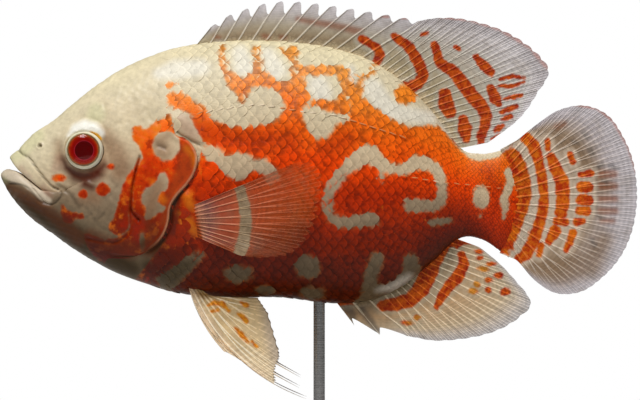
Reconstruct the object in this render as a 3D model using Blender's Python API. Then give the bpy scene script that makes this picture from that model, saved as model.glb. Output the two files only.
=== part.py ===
"""Red tiger oscar fish, life size, held on a display stand as if it swam.

Metres, +Z up. The head points to -X and the fish's left side faces -Y. The origin is the middle of
the base's underside. On the fish, s runs back from the tip of the chin and h is the height above its
middle line, both in millimetres, and paired pieces are worked out for the left side and mirrored.
"""

import math

import bmesh
import bpy
import numpy as np
from mathutils import Matrix, Vector
from mathutils.bvhtree import BVHTree

MM = 0.001
GAP = 0.3  # between pieces that touch, mm

TOTAL_LENGTH = 280.0  # chin to the end of the tail fin, mm
AXIS_HEIGHT = 113.0  # middle line of the fish above the floor, mm

BASE_SIZE = (150.0, 80.0, 12.0)
BASE_EDGE = 2.0
ROD_RADIUS = 2.5
ROD_DEPTH = 6.0  # how far the rod goes into the belly and into the base
ROD_S = TOTAL_LENGTH / 2

AROUND = 40  # facets round the body
STEPS = 2  # facets between two stations

# Each station of the body is a ring: its top and bottom as (s, h), its widest point as
# (s, half width, h), how square it is above and below, and how far the lips press together.
# The first three are inside the mouth, from its back to the rim, and the fourth is the lips.
STATIONS = np.array([
    (14.0, 10.8, 22.5, 6.0, 0.2, 12.5, 9.4, 2.2, 2.2, 0.4),
    (8.5, 16.2, 23.3, 8.6, -0.2, 6.0, 12.8, 2.2, 2.2, 0.65),
    (4.8, 17.6, 23.8, 10.5, 0.0, 2.6, 13.6, 2.2, 2.2, 0.7),
    (4.1, 19.2, 25.8, 11.8, 0.6, 0.0, 11.4, 2.2, 2.2, 0.2),
    (8.0, 22.7, 27.6, 12.6, 2.2, 1.2, 7.6, 2.2, 2.2, 0.0),
    (14.5, 29.3, 31.0, 14.2, 4.5, 5.2, 0.9, 2.2, 2.2, 0.0),
    (23.0, 35.0, 36.0, 16.2, 8.0, 12.8, -7.5, 2.2, 2.2, 0.0),
    (32.0, 42.6, 42.0, 17.8, 10.0, 23.0, -15.0, 2.15, 2.2, 0.0),
    (42.0, 50.4, 49.0, 19.4, 11.5, 36.0, -23.9, 2.1, 2.2, 0.0),
    (53.0, 57.5, 56.5, 20.6, 12.0, 50.0, -31.7, 2.0, 2.2, 0.0),
    (66.0, 63.4, 66.0, 21.8, 12.0, 66.0, -37.5, 1.95, 2.2, 0.0),
    (79.0, 67.3, 79.0, 23.2, 12.0, 79.0, -40.9, 1.85, 2.2, 0.0),
    (100.0, 69.9, 100.0, 24.2, 13.0, 100.0, -42.7, 1.75, 2.2, 0.0),
    (123.0, 69.7, 123.0, 23.8, 13.0, 123.0, -42.6, 1.7, 2.2, 0.0),
    (145.0, 67.0, 145.0, 22.0, 12.0, 145.0, -45.2, 1.7, 2.1, 0.0),
    (163.0, 61.0, 163.0, 19.0, 11.0, 163.0, -43.8, 1.75, 2.0, 0.0),
    (178.0, 50.8, 178.0, 15.5, 9.0, 178.0, -36.8, 1.9, 2.0, 0.0),
    (190.0, 38.6, 190.0, 12.0, 6.0, 190.0, -27.0, 2.0, 2.0, 0.0),
    (202.0, 23.6, 202.0, 9.0, 3.0, 202.0, -17.4, 2.0, 2.0, 0.0),
    (211.0, 20.9, 211.0, 7.0, 1.8, 211.0, -17.7, 2.0, 2.0, 0.0),
    (220.0, 21.8, 220.0, 5.0, 0.0, 220.0, -24.0, 2.0, 2.0, 0.0),
    (222.0, 26.0, 228.0, 1.6, 0.0, 222.0, -29.0, 2.0, 2.0, 0.0),
])

# Where the head is parted from the trunk: down the nape, round the gill cover's edge, to the throat
GILL_EDGE = (
    (73.5, 90.0), (75.2, 48.4), (77.0, 29.5), (81.4, 27.3), (84.6, 24.2), (86.9, 18.9), (85.9, 12.6),
    (82.8, 7.2), (78.3, 2.2), (75.2, -3.1), (74.3, -9.9), (71.3, -16.7), (65.6, -27.3), (58.0, -60.0),
)
GILL_TOP = 29.5  # h where the edge starts to stand proud of the trunk
GILL_PROUD = 1.2
GILL_THICK = 4.0
# The rest of the gill cover's outline: along its top, down the cheek and back under the jaw
GILL_FRONT = (
    (77.0, 30.5), (70.0, 27.5), (63.8, 22.0), (59.9, 12.6), (58.1, 3.6), (57.2, -7.5), (56.3, -13.5),
    (52.7, -17.5), (46.0, -18.4), (44.5, -22.5), (52.7, -25.1), (61.7, -22.9), (68.0, -20.2), (74.0, -16.0),
)
# The parting under the lower jaw: between the lips, past the corner of the mouth, to the throat
JAW_LINE = ((-7.8, 24.5), (22.6, 1.0), (26.0, -3.0), (29.0, -10.0), (30.0, -19.0), (29.0, -40.0))
STALK_S = 207.0  # where the tail stalk is parted from the trunk

EYE = (37.2, 21.7)
EYE_SIZE = (8.8, 7.0)  # radius across, and half its depth
EYE_Y = 14.5
NOSTRIL = (17.4, 23.8)
NOSTRIL_RADIUS = 0.9

SINK = 2.2  # how deep a fin's root is drawn into the body before the body's shape is cut from it

DORSAL_SPINES = 13
DORSAL_SOFT = 20
DORSAL_BASE = ((85.8, 67.9), (110.6, 70.0), (136.4, 68.2), (160.2, 62.3), (175.6, 52.8), (184.4, 44.9),
               (193.2, 35.2), (202.8, 22.9))
DORSAL_SPINE_SHARE = 0.6  # of the base, from the front
DORSAL_SPINE_TIPS = ((88.9, 72.2), (99.9, 81.0), (117.0, 86.7), (132.0, 87.2), (155.1, 84.0), (177.8, 79.4))
DORSAL_MARGIN = ((182.5, 79.6), (202.0, 79.9), (219.6, 75.2), (233.0, 67.3), (241.3, 57.2), (237.2, 48.8),
                 (228.4, 36.1), (214.3, 25.3))

ANAL_SPINES = 3
ANAL_SOFT = 16
ANAL_BASE = ((148.0, -45.5), (162.4, -43.6), (175.6, -37.9), (188.8, -27.9), (201.5, -17.4))
ANAL_SPINE_SHARE = 0.16
ANAL_SPINE_TIPS = ((155.3, -55.0), (161.5, -57.7), (168.0, -59.6))
ANAL_MARGIN = ((173.0, -60.2), (193.2, -62.0), (210.8, -59.8), (224.0, -54.6), (233.6, -45.8), (230.6, -40.5),
               (220.4, -28.9), (210.5, -20.7))

TAIL_RAYS = 16
TAIL_BASE = ((223.0, 25.0), (227.6, 13.0), (228.4, 0.0), (227.8, -14.0), (223.0, -28.0))
TAIL_MARGIN = ((226.5, 26.0), (237.2, 33.0), (251.7, 41.4), (263.4, 39.6), (273.2, 29.0), (278.6, 14.0),
               (280.0, 0.0), (276.8, -18.8), (268.8, -32.6), (256.2, -40.6), (243.5, -41.2), (232.8, -34.3),
               (226.5, -29.0))

PECTORAL_RAYS = 11
PECTORAL_BASE = ((84.7, -2.5), (89.0, -17.0))
PECTORAL_MARGIN = ((131.0, 16.8), (138.5, 15.6), (141.7, 8.6), (139.5, -2.2), (138.6, -8.8), (130.2, -22.0),
                   (116.0, -25.2), (105.0, -24.0))
PECTORAL_SPREAD = 13.0  # how far the tips stand out from the flank

PELVIC_BASE = ((83.4, -40.6), (94.5, -42.4))
# The spine, then five rays: the tip and how far the ray bows forwards
PELVIC_RAYS = ((98.3, -66.4, 0.0), (134.4, -87.0, -0.11), (131.5, -82.2, -0.08), (132.0, -77.6, -0.06),
               (122.2, -66.0, -0.04), (117.5, -50.0, -0.02))
PELVIC_WEB = (0.96, 0.78, 0.85, 0.84, 0.97, 1.0)  # how far out the membrane meets each of them
PELVIC_Y = (7.5, 18.5)  # at the root and at the tips

CREAM = (0.78, 0.70, 0.58)
ORANGE = (0.80, 0.16, 0.03)
DEEP_ORANGE = (0.62, 0.08, 0.02)
ROSE = (0.75, 0.34, 0.26)
TAN = (0.62, 0.42, 0.28)
PALE = (0.82, 0.66, 0.42)
EYE_RED = (0.30, 0.02, 0.02)
STEEL = (0.55, 0.55, 0.56)
WALNUT = (0.12, 0.06, 0.03)


def place(s, y, h):
    """A point of the fish in the scene, from millimetres along, across and above its middle line."""
    return Vector(((s - TOTAL_LENGTH / 2) * MM, y * MM, (AXIS_HEIGHT + h) * MM))


def ease(low, high, x):
    t = min(max((x - low) / (high - low), 0.0), 1.0)
    return t * t * (3 - 2 * t)


def catmull(rows, x):
    """The row at a fractional index x, on the smooth curve through all rows."""
    last = len(rows) - 1
    i = min(int(x), last - 1)
    t = x - i
    a, b, c, d = (np.asarray(rows[min(max(i + j, 0), last)], float) for j in (-1, 0, 1, 2))
    return 0.5 * (2 * b + (c - a) * t + (2 * a - 5 * b + 4 * c - d) * t**2 + (3 * b - a - 3 * c + d) * t**3)


def along(points, t):
    """The point a share t along the smooth curve through the points, with even steps between them."""
    return catmull(points, min(max(t, 0.0), 1.0) * (len(points) - 1))


def even_along(points, t):
    """The same curve, with t measured along its length."""
    fine = np.array([along(points, i / 60) for i in range(61)])
    run = np.concatenate([[0.0], np.cumsum(np.linalg.norm(np.diff(fine, axis=0), axis=1))])
    return np.array([np.interp(t * run[-1], run, fine[:, axis]) for axis in (0, 1)])


def offset_line(points, distance):
    """An open line of (s, h) points moved sideways, to its left where the distance is positive."""
    line = np.array(points, float)
    step = np.gradient(line, axis=0)
    left = np.stack([-step[:, 1], step[:, 0]], axis=1)
    return line + distance * left / np.linalg.norm(left, axis=1, keepdims=True)


def material(name, colour, roughness, metallic=0.0):
    made = bpy.data.materials.new(name)
    made.use_nodes = True
    shader = made.node_tree.nodes["Principled BSDF"]
    shader.inputs["Base Color"].default_value = (*colour, 1.0)
    shader.inputs["Roughness"].default_value = roughness
    shader.inputs["Metallic"].default_value = metallic
    made.diffuse_color = (*colour, 1.0)
    return made


def new_object(name, bm, collection):
    mesh = bpy.data.meshes.new(name)
    bm.to_mesh(mesh)
    bm.free()
    made = bpy.data.objects.new(name, mesh)
    collection.objects.link(made)
    return made


def copy_of(piece, name):
    made = bpy.data.objects.new(name, piece.data.copy())
    piece.users_collection[0].objects.link(made)
    return made


def discard(*pieces):
    for piece in pieces:
        bpy.data.objects.remove(piece)


def boolean(piece, tool, operation="DIFFERENCE"):
    """Applies a Boolean with another closed mesh, and keeps the largest closed surface of the result."""
    cut = piece.modifiers.new(operation.title(), "BOOLEAN")
    cut.operation = operation
    cut.object = tool
    cut.solver = "EXACT"
    bpy.context.view_layer.update()
    graph = bpy.context.evaluated_depsgraph_get()
    result = bpy.data.meshes.new_from_object(piece.evaluated_get(graph))
    piece.modifiers.clear()
    piece.data = result
    keep_largest(piece)


def keep_largest(piece):
    bm = bmesh.new()
    bm.from_mesh(piece.data)
    bmesh.ops.triangulate(bm, faces=bm.faces[:])
    left = set(bm.verts)
    shells = []
    while left:
        found = {left.pop()}
        queue = list(found)
        while queue:
            for edge in queue.pop().link_edges:
                for vert in edge.verts:
                    if vert in left:
                        left.discard(vert)
                        found.add(vert)
                        queue.append(vert)
        shells.append(found)
    shells.sort(key=len)
    for shell in shells[:-1]:
        bmesh.ops.delete(bm, geom=list(shell), context="VERTS")
    bm.to_mesh(piece.data)
    bm.free()


def prism(name, outline, y_from, y_to):
    """A tool: an outline of (s, h) points carried across from y_from to y_to, in millimetres."""
    bm = bmesh.new()
    face = bm.faces.new([bm.verts.new(place(s, y_from, h)) for s, h in outline])
    drawn = bmesh.ops.extrude_face_region(bm, geom=[face], use_keep_orig=True)
    moved = [item for item in drawn["geom"] if isinstance(item, bmesh.types.BMVert)]
    bmesh.ops.translate(bm, verts=moved, vec=(0, (y_to - y_from) * MM, 0))
    bmesh.ops.triangulate(bm, faces=bm.faces[:], ngon_method="EAR_CLIP")
    bmesh.ops.recalc_face_normals(bm, faces=bm.faces[:])
    return new_object(name, bm, cutters)


def body_point(x, c, side):
    """The body's surface at station x; c runs from 0 on the back through 0.5 at the side to 1 below."""
    top_s, top_h, side_s, half, side_h, low_s, low_h, n_top, n_low, press = catmull(STATIONS, x)
    turn = min(c, 1 - c) * math.pi
    middle_s, middle_h = (top_s + low_s) / 2, (top_h + low_h) / 2
    end_s, end_h, power = (top_s, top_h, 2 / n_top) if c <= 0.5 else (low_s, low_h, 2 / n_low)
    closed = press * ease(0.08, 0.5, turn * 2 / math.pi)
    end_s += (middle_s - end_s) * closed
    end_h += (middle_h - end_h) * closed
    reach = max(math.cos(turn), 0.0) ** power
    out = max(math.sin(turn), 0.0) ** power
    return side_s + (end_s - side_s) * reach, side * half * out, side_h + (end_h - side_h) * reach


def gill_dip(s, h):
    """How far the trunk lies under the edge of the gill cover, and how that fades behind it."""
    line = np.array(GILL_EDGE)
    edge_s = np.interp(-h, -line[:, 1], line[:, 0])
    behind = max(s - edge_s, 0.0)
    return GILL_PROUD * ease(GILL_TOP + 6, GILL_TOP - 4, h) * math.exp(-((behind / 9) ** 2))


def body(name, grow=0.0, dipped=False, first=0, last=None):
    """The whole fish without fins, as one closed loft, moved out along its normals by grow."""
    stations = (len(STATIONS) - 1 if last is None else last) - first
    rings = stations * STEPS
    bm = bmesh.new()
    bmesh.ops.create_grid(bm, x_segments=rings, y_segments=AROUND, size=0.5)
    for vert in bm.verts:
        ring = round((vert.co.x + 0.5) * rings)
        spoke = round((vert.co.y + 0.5) * AROUND)
        share = spoke / (AROUND / 2)
        side, c = (-1, share) if share <= 1 else (1, 2 - share)
        vert.co = place(*body_point(first + ring / STEPS, c, side))
    bmesh.ops.remove_doubles(bm, verts=bm.verts[:], dist=0.01 * MM)
    bmesh.ops.holes_fill(bm, edges=bm.edges[:], sides=AROUND + 1)
    bmesh.ops.triangulate(bm, faces=bm.faces[:])
    bmesh.ops.recalc_face_normals(bm, faces=bm.faces[:])
    bm.normal_update()
    normals = {vert: vert.normal.copy() for vert in bm.verts}
    for vert, normal in normals.items():
        s, h = vert.co.x / MM + TOTAL_LENGTH / 2, vert.co.z / MM - AXIS_HEIGHT
        vert.co += normal * (grow - (gill_dip(s, h) if dipped else 0.0)) * MM
    return new_object(name, bm, cutters)


def ball(name, centre, radii, segments=20):
    """A ball with its poles to the sides."""
    bm = bmesh.new()
    bmesh.ops.create_uvsphere(bm, u_segments=segments, v_segments=segments // 2, radius=1.0)
    bmesh.ops.rotate(bm, verts=bm.verts[:], cent=(0, 0, 0), matrix=Matrix.Rotation(math.pi / 2, 3, "X"))
    bmesh.ops.scale(bm, verts=bm.verts[:], vec=[radius * MM for radius in radii])
    bmesh.ops.translate(bm, verts=bm.verts[:], vec=centre)
    bmesh.ops.triangulate(bm, faces=bm.faces[:])
    return new_object(name, bm, cutters)


def cylinder(name, radius, s, low, high, collection):
    """An upright round bar at s, between two heights above the floor in millimetres."""
    bm = bmesh.new()
    bmesh.ops.create_cone(
        bm, cap_ends=True, segments=28, radius1=radius * MM, radius2=radius * MM, depth=(high - low) * MM
    )
    middle = ((s - TOTAL_LENGTH / 2) * MM, 0, (low + high) / 2 * MM)
    bmesh.ops.translate(bm, verts=bm.verts[:], vec=middle)
    return new_object(name, bm, collection)


def slab(name, columns, rows, middle, half, across, collection):
    """A thin closed sheet. Its two faces come from one flat grid, so they are split into triangles
    alike, and each point is then put in place by its column, its row and its side."""
    bm = bmesh.new()
    bmesh.ops.create_grid(bm, x_segments=columns, y_segments=rows, size=0.5)
    bmesh.ops.triangulate(bm, faces=bm.faces[:], quad_method="FIXED")
    lower = bm.verts[:]
    for vert in lower:
        vert.co.z = 0.0
    upper = bmesh.ops.extrude_face_region(bm, geom=bm.faces[:], use_keep_orig=True)
    for item in upper["geom"]:
        if isinstance(item, bmesh.types.BMVert):
            item.co.z = 1.0
    bmesh.ops.triangulate(bm, faces=bm.faces[:])
    for vert in bm.verts:
        column = round((vert.co.x + 0.5) * columns)
        row = round((vert.co.y + 0.5) * rows)
        side = 1.0 if vert.co.z > 0.5 else -1.0
        at = np.array(middle(column, row)) + side * half(column, row) * np.array(across)
        vert.co = place(*at)
    bmesh.ops.recalc_face_normals(bm, faces=bm.faces[:])
    if bm.calc_volume(signed=True) < 0:
        bmesh.ops.reverse_faces(bm, faces=bm.faces[:])
    return new_object(name, bm, collection)


class Ray:
    """A spine or ray of a fin, from its root to its tip, with the half thickness at both ends. A bow
    bends it sideways, as a share of its length."""

    def __init__(self, root, tip, thick, thin, bow=0.0):
        self.root = np.array(root, float)
        self.way = np.array(tip, float) - self.root
        self.thick = thick
        self.thin = thin
        self.bow = bow

    def at(self, t):
        aside = np.array([-self.way[1], self.way[0]])
        return self.root + self.way * t + aside * self.bow * 4 * t * (1 - t)


class Column:
    """A line of the fin's sheet, a share of the way from one ray to the next, and how far out it runs."""

    def __init__(self, ray, after, share, reach, thick, thin):
        self.ray = ray
        self.after = after
        self.share = share
        self.reach = reach
        self.thick = thick
        self.thin = thin

    def at(self, t):
        near, far = self.ray.at(t * self.reach), self.after.at(t * self.reach)
        return near + (far - near) * self.share

    def sunk(self):
        """Where the column starts, inside the body."""
        way = self.at(0.2) - self.at(0.0)
        return self.at(0.0) - SINK * way / np.linalg.norm(way)

    def half(self, t):
        return self.thick + (self.thin - self.thick) * t


def web(rays, between):
    """The columns of a fin: its rays, with membrane between each two at the shares and reaches given."""
    columns = []
    for k, ray in enumerate(rays):
        columns.append(Column(ray, ray, 0.0, 1.0, ray.thick, ray.thin))
        if k + 1 < len(rays):
            for share, reach in between(k):
                columns.append(Column(ray, rays[k + 1], share, reach, 0.4, 0.27))
    return columns


def ray_row(count, base, tips, first, last, thick, thin, bow=0.0):
    """Rays spaced evenly along part of a base line, with their tips spaced along a curve."""
    rays = []
    for k in range(count):
        t = k / (count - 1)
        rays.append(Ray(even_along(base, first + (last - first) * t), even_along(tips, t), thick, thin, bow))
    return rays


def spiny_and_soft(base, spines, spine_tips, soft, margin, spine_share, drop):
    """Stout spines, each the front of a lobe whose edge falls along it, then soft rays."""
    last_spine = spine_share * (spines - 1) / spines
    rays = ray_row(spines, base, spine_tips, 0.0, last_spine, 1.0, 0.45)
    rays += ray_row(soft, base, margin, spine_share, 1.0, 0.85, 0.32)

    def between(k):
        if k < spines - 1:
            return ((0.2, 1 - 0.03 * drop), (0.55, 1 - 0.5 * drop), (0.9, 1 - drop))
        return ((0.5, 0.97),)

    return web(rays, between)


SHARES = (0.0, 0.12, 0.36, 0.6, 0.82, 1.0)  # rows of a fin, from its root to its edge
ROOT_HALF = 1.2  # half thickness of a fin where it goes into the body


def median_fin(name, columns, wave, turns):
    """A fin on the middle line. It waves a little from side to side towards its edge."""

    def middle(column, row):
        s, h = columns[column].sunk() if row == 0 else columns[column].at(SHARES[row])
        return s, wave * SHARES[row] ** 1.5 * math.sin(turns * column / len(columns) * 2 * math.pi), h

    def half(column, row):
        return ROOT_HALF if row == 0 else columns[column].half(SHARES[row])

    return slab(name, len(columns) - 1, len(SHARES) - 1, middle, half, (0, 1, 0), fish)


def flank(s, h):
    """Half width of the trunk at a place on its side."""
    hit = trunk_surface.ray_cast(place(s, -80, h), Vector((0, 1, 0)))[0]
    return -hit.y / MM


def pectoral_fin(name, side):
    rays = ray_row(PECTORAL_RAYS, PECTORAL_BASE, PECTORAL_MARGIN, 0.0, 1.0, 0.7, 0.32)
    columns = web(rays, lambda k: ((0.5, 0.975),))
    root_y = min(flank(*PECTORAL_BASE[0]), flank(*PECTORAL_BASE[1]))

    def middle(column, row):
        if row == 0:
            s, h = columns[column].at(0.0)
            return s - 1.5, side * (flank(s, h) - SINK), h
        t = SHARES[row]
        s, h = columns[column].at(t)
        out = root_y + 1.6 + PECTORAL_SPREAD * (0.25 * t**0.5 + 0.75 * t)
        fan = column / (len(columns) - 1) - 0.5
        return s, side * (out + 1.5 * math.cos(fan * math.pi) * t), h

    def half(column, row):
        return ROOT_HALF if row == 0 else columns[column].half(SHARES[row])

    lean = math.radians(14)
    across = (-math.sin(lean), side * math.cos(lean), 0)
    return slab(name, len(columns) - 1, len(SHARES) - 1, middle, half, across, fish)


def pelvic_fin(name, side):
    """A short spine and five rays, each running out in a thread, with the membrane well behind."""
    rays = []
    for k, (tip_s, tip_h, bow) in enumerate(PELVIC_RAYS):
        rays.append(Ray(along(PELVIC_BASE, k / (len(PELVIC_RAYS) - 1)), (tip_s, tip_h), 0.9, 0.28, bow))

    def between(k):
        near, far = PELVIC_WEB[k], PELVIC_WEB[k + 1]
        return [(share, (near + (far - near) * share) * (1 - 0.05 * math.sin(share * math.pi)))
                for share in (0.16, 0.5, 0.84)]

    columns = web(rays, between)

    def middle(column, row):
        t = SHARES[row]
        s, h = columns[column].sunk() if row == 0 else columns[column].at(t)
        out = min(np.hypot(s - PELVIC_BASE[0][0], h - PELVIC_BASE[0][1]) / 62.0, 1.0)
        return s, side * (PELVIC_Y[0] + (PELVIC_Y[1] - PELVIC_Y[0]) * out), h

    def half(column, row):
        return ROOT_HALF if row == 0 else columns[column].half(SHARES[row])

    lean = math.radians(12)
    across = (0, math.cos(lean), side * math.sin(lean))
    return slab(name, len(columns) - 1, len(SHARES) - 1, middle, half, across, fish)


def head_and_gills():
    """The head, parted from the trunk, the lower jaw and the gill covers by cuts a gap wide."""
    whole = body("whole")
    edge = offset_line(GILL_EDGE, -GAP / 2)
    front = prism("front", [(-30.0, 90.0), *edge, (-30.0, -60.0)], -60, 60)
    boolean(whole, front, "INTERSECT")
    core = body("core", -GILL_THICK, first=8, last=14)
    small_core = body("small_core", -GILL_THICK - GAP, first=8, last=14)
    back_way = ((95.0, -16.0), (95.0, 34.0), (77.0, 34.0))
    covers = []
    for side, name in ((-1, "gill_cover_left"), (1, "gill_cover_right")):
        cover = copy_of(whole, name)
        outline = prism("gill_outline", [*GILL_FRONT, *back_way], side * 4, side * 60)
        boolean(cover, outline, "INTERSECT")
        boolean(cover, core)
        pocket_line = offset_line(GILL_FRONT, -GAP)
        pocket = prism("gill_pocket", [*pocket_line, *back_way], side * (4 - GAP), side * 60)
        boolean(pocket, small_core)
        boolean(whole, pocket)
        discard(outline, pocket)
        covers.append(cover)
    for side in (-1, 1):
        socket_size = [size + GAP for size in (EYE_SIZE[0], EYE_SIZE[1], EYE_SIZE[0])]
        socket = ball("socket", place(EYE[0], side * EYE_Y, EYE[1]), socket_size)
        boolean(whole, socket)
        hit = head_surface.ray_cast(place(NOSTRIL[0], side * 80, NOSTRIL[1]), Vector((0, -side, 0)))[0]
        pit = ball("pit", hit, [NOSTRIL_RADIUS] * 3, 8)
        boolean(whole, pit)
        discard(socket, pit)
    jaw = copy_of(whole, "lower_jaw")
    below = prism("below", [*offset_line(JAW_LINE, -GAP / 2), (-40.0, -40.0), (-40.0, 24.5)], -60, 60)
    boolean(jaw, below, "INTERSECT")
    reach = prism("reach", [*offset_line(JAW_LINE, GAP / 2), (-40.0, -40.0), (-40.0, 24.5)], -60, 60)
    boolean(whole, reach)
    whole.name = "head"
    discard(front, core, small_core, below, reach)
    return whole, jaw, covers


def trunk_and_stalk():
    trunk = body("trunk", dipped=True)
    stalk = copy_of(trunk, "tail_stalk")
    edge = offset_line(GILL_EDGE, GAP / 2)
    behind = prism(
        "behind", [*edge, (STALK_S - GAP / 2, -60.0), (STALK_S - GAP / 2, 90.0)], -60, 60
    )
    boolean(trunk, behind, "INTERSECT")
    start = STALK_S + GAP / 2
    rear = prism("rear", [(start, -60.0), (300.0, -60.0), (300.0, 90.0), (start, 90.0)], -60, 60)
    boolean(stalk, rear, "INTERSECT")
    hole = cylinder("hole", ROD_RADIUS + GAP, ROD_S, BASE_SIZE[2], rod_top() + GAP, cutters)
    boolean(trunk, hole)
    discard(behind, rear, hole)
    return trunk, stalk


def rod_top():
    """Height of the rod's end: a blind hole's depth above the lowest point of the belly over it."""
    belly = trunk_surface.ray_cast(place(ROD_S, 0, -90), Vector((0, 0, 1)))[0]
    return belly.z / MM + ROD_DEPTH


def stand():
    width, depth, height = BASE_SIZE
    bm = bmesh.new()
    bmesh.ops.create_cube(bm, size=1.0)
    bmesh.ops.scale(bm, verts=bm.verts[:], vec=(width * MM, depth * MM, height * MM))
    bmesh.ops.translate(bm, verts=bm.verts[:], vec=(0, 0, height / 2 * MM))
    above = [edge for edge in bm.edges if edge.verts[0].co.z + edge.verts[1].co.z > height * MM]
    bmesh.ops.bevel(
        bm, geom=above, offset=BASE_EDGE * MM, offset_type="OFFSET", segments=3, profile=0.5, affect="EDGES",
        material=-1,
    )
    base = new_object("stand_base", bm, fish)
    foot = BASE_SIZE[2] - ROD_DEPTH
    hole = cylinder("base_hole", ROD_RADIUS + GAP, ROD_S, foot, height + 5, cutters)
    boolean(base, hole)
    rod = cylinder("stand_rod", ROD_RADIUS, ROD_S, foot + GAP, rod_top(), fish)
    discard(hole)
    return base, rod


for old in list(bpy.data.objects):
    bpy.data.objects.remove(old)
scene_collection = bpy.context.scene.collection
fish = bpy.data.collections.new("oscar_fish")
cutters = bpy.data.collections.new("cutters")
scene_collection.children.link(fish)
scene_collection.children.link(cutters)

surface = body("surface")
plain = bmesh.new()
plain.from_mesh(surface.data)
head_surface = BVHTree.FromBMesh(plain)
plain.free()
dipped = body("dipped", dipped=True)
plain = bmesh.new()
plain.from_mesh(dipped.data)
trunk_surface = BVHTree.FromBMesh(plain)
plain.free()
discard(surface, dipped)

head, lower_jaw, gill_covers = head_and_gills()
trunk, tail_stalk = trunk_and_stalk()

dorsal = spiny_and_soft(
    DORSAL_BASE, DORSAL_SPINES, DORSAL_SPINE_TIPS, DORSAL_SOFT, DORSAL_MARGIN, DORSAL_SPINE_SHARE, 0.27
)
anal = spiny_and_soft(
    ANAL_BASE, ANAL_SPINES, ANAL_SPINE_TIPS, ANAL_SOFT, ANAL_MARGIN, ANAL_SPINE_SHARE, 0.15
)
tail = web(ray_row(TAIL_RAYS, TAIL_BASE, TAIL_MARGIN, 0.0, 1.0, 0.85, 0.32), lambda k: ((0.5, 0.975),))

fins = {
    median_fin("dorsal_fin", dorsal, 1.2, 1.5): ROSE,
    median_fin("anal_fin", anal, 1.0, 1.0): TAN,
    median_fin("tail_fin", tail, 2.0, 0.5): TAN,
    pectoral_fin("pectoral_fin_left", -1): ROSE,
    pectoral_fin("pectoral_fin_right", 1): ROSE,
    pelvic_fin("pelvic_fin_left", -1): PALE,
    pelvic_fin("pelvic_fin_right", 1): PALE,
}
clear = body("clear", GAP, dipped=True)
for fin in fins:
    boolean(fin, clear)
discard(clear)

eyes = []
for side, name in ((-1, "eye_left"), (1, "eye_right")):
    centre = place(EYE[0], side * EYE_Y, EYE[1])
    eyes.append(ball(name, centre, (EYE_SIZE[0], EYE_SIZE[1], EYE_SIZE[0])))
stand_base, stand_rod = stand()

finishes = {
    head: ("head_skin", CREAM, 0.4, 0.0),
    lower_jaw: ("jaw_skin", PALE, 0.4, 0.0),
    gill_covers[0]: ("left_gill_skin", ORANGE, 0.35, 0.0),
    gill_covers[1]: ("right_gill_skin", ORANGE, 0.35, 0.0),
    trunk: ("trunk_scales", ORANGE, 0.35, 0.0),
    tail_stalk: ("stalk_scales", DEEP_ORANGE, 0.35, 0.0),
    eyes[0]: ("left_eye", EYE_RED, 0.05, 0.0),
    eyes[1]: ("right_eye", EYE_RED, 0.05, 0.0),
    stand_base: ("walnut", WALNUT, 0.35, 0.0),
    stand_rod: ("brushed_steel", STEEL, 0.25, 1.0),
}
finishes.update({fin: (fin.name + "_membrane", colour, 0.4, 0.0) for fin, colour in fins.items()})
for piece, (finish, colour, roughness, metallic) in finishes.items():
    for holder in list(piece.users_collection):
        holder.objects.unlink(piece)
    fish.objects.link(piece)
    piece.data.materials.clear()
    piece.data.materials.append(material(finish, colour, roughness, metallic))
    piece.data.shade_smooth()
    piece.data.set_sharp_from_angle(angle=math.radians(40))
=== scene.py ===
"""Red tiger oscar, life size, dressed over its solids: one skin with raised scales, rayed fins, wet eyes.

Metres, +Z up, head to -X, left side to -Y. On the fish, s runs back from the chin and h is the height
above its middle line, both in millimetres. The markings are drawn in pixels of the photograph, 0.44 mm
each, and a few functions turn them into distances that every skin, scale and fin is painted from.
"""

import itertools
import math

import bmesh
import bpy
import numpy as np
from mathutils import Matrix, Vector


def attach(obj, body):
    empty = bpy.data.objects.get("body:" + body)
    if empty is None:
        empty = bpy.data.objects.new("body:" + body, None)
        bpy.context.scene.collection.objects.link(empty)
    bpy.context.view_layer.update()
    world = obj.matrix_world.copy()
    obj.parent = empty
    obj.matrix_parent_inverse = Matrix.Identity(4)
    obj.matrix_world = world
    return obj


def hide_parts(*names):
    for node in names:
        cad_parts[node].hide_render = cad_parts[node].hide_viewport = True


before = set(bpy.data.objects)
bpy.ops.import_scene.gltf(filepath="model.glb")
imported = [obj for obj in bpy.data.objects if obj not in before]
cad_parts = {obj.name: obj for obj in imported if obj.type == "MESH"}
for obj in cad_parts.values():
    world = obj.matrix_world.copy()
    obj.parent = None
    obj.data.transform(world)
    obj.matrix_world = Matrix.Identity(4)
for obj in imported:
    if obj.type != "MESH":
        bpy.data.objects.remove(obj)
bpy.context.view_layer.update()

MM = 0.001
TOTAL_LENGTH = 280.0
AXIS_HEIGHT = 113.0
PIXEL = 0.44  # one pixel of the photograph on the fish, mm
FIRST_COLUMN = 1  # the photograph's column at the chin
MIDDLE_ROW = 200  # and its row at the middle line
SIDES = ((-1.0, "left"), (1.0, "right"))  # which way across, and its name

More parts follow.
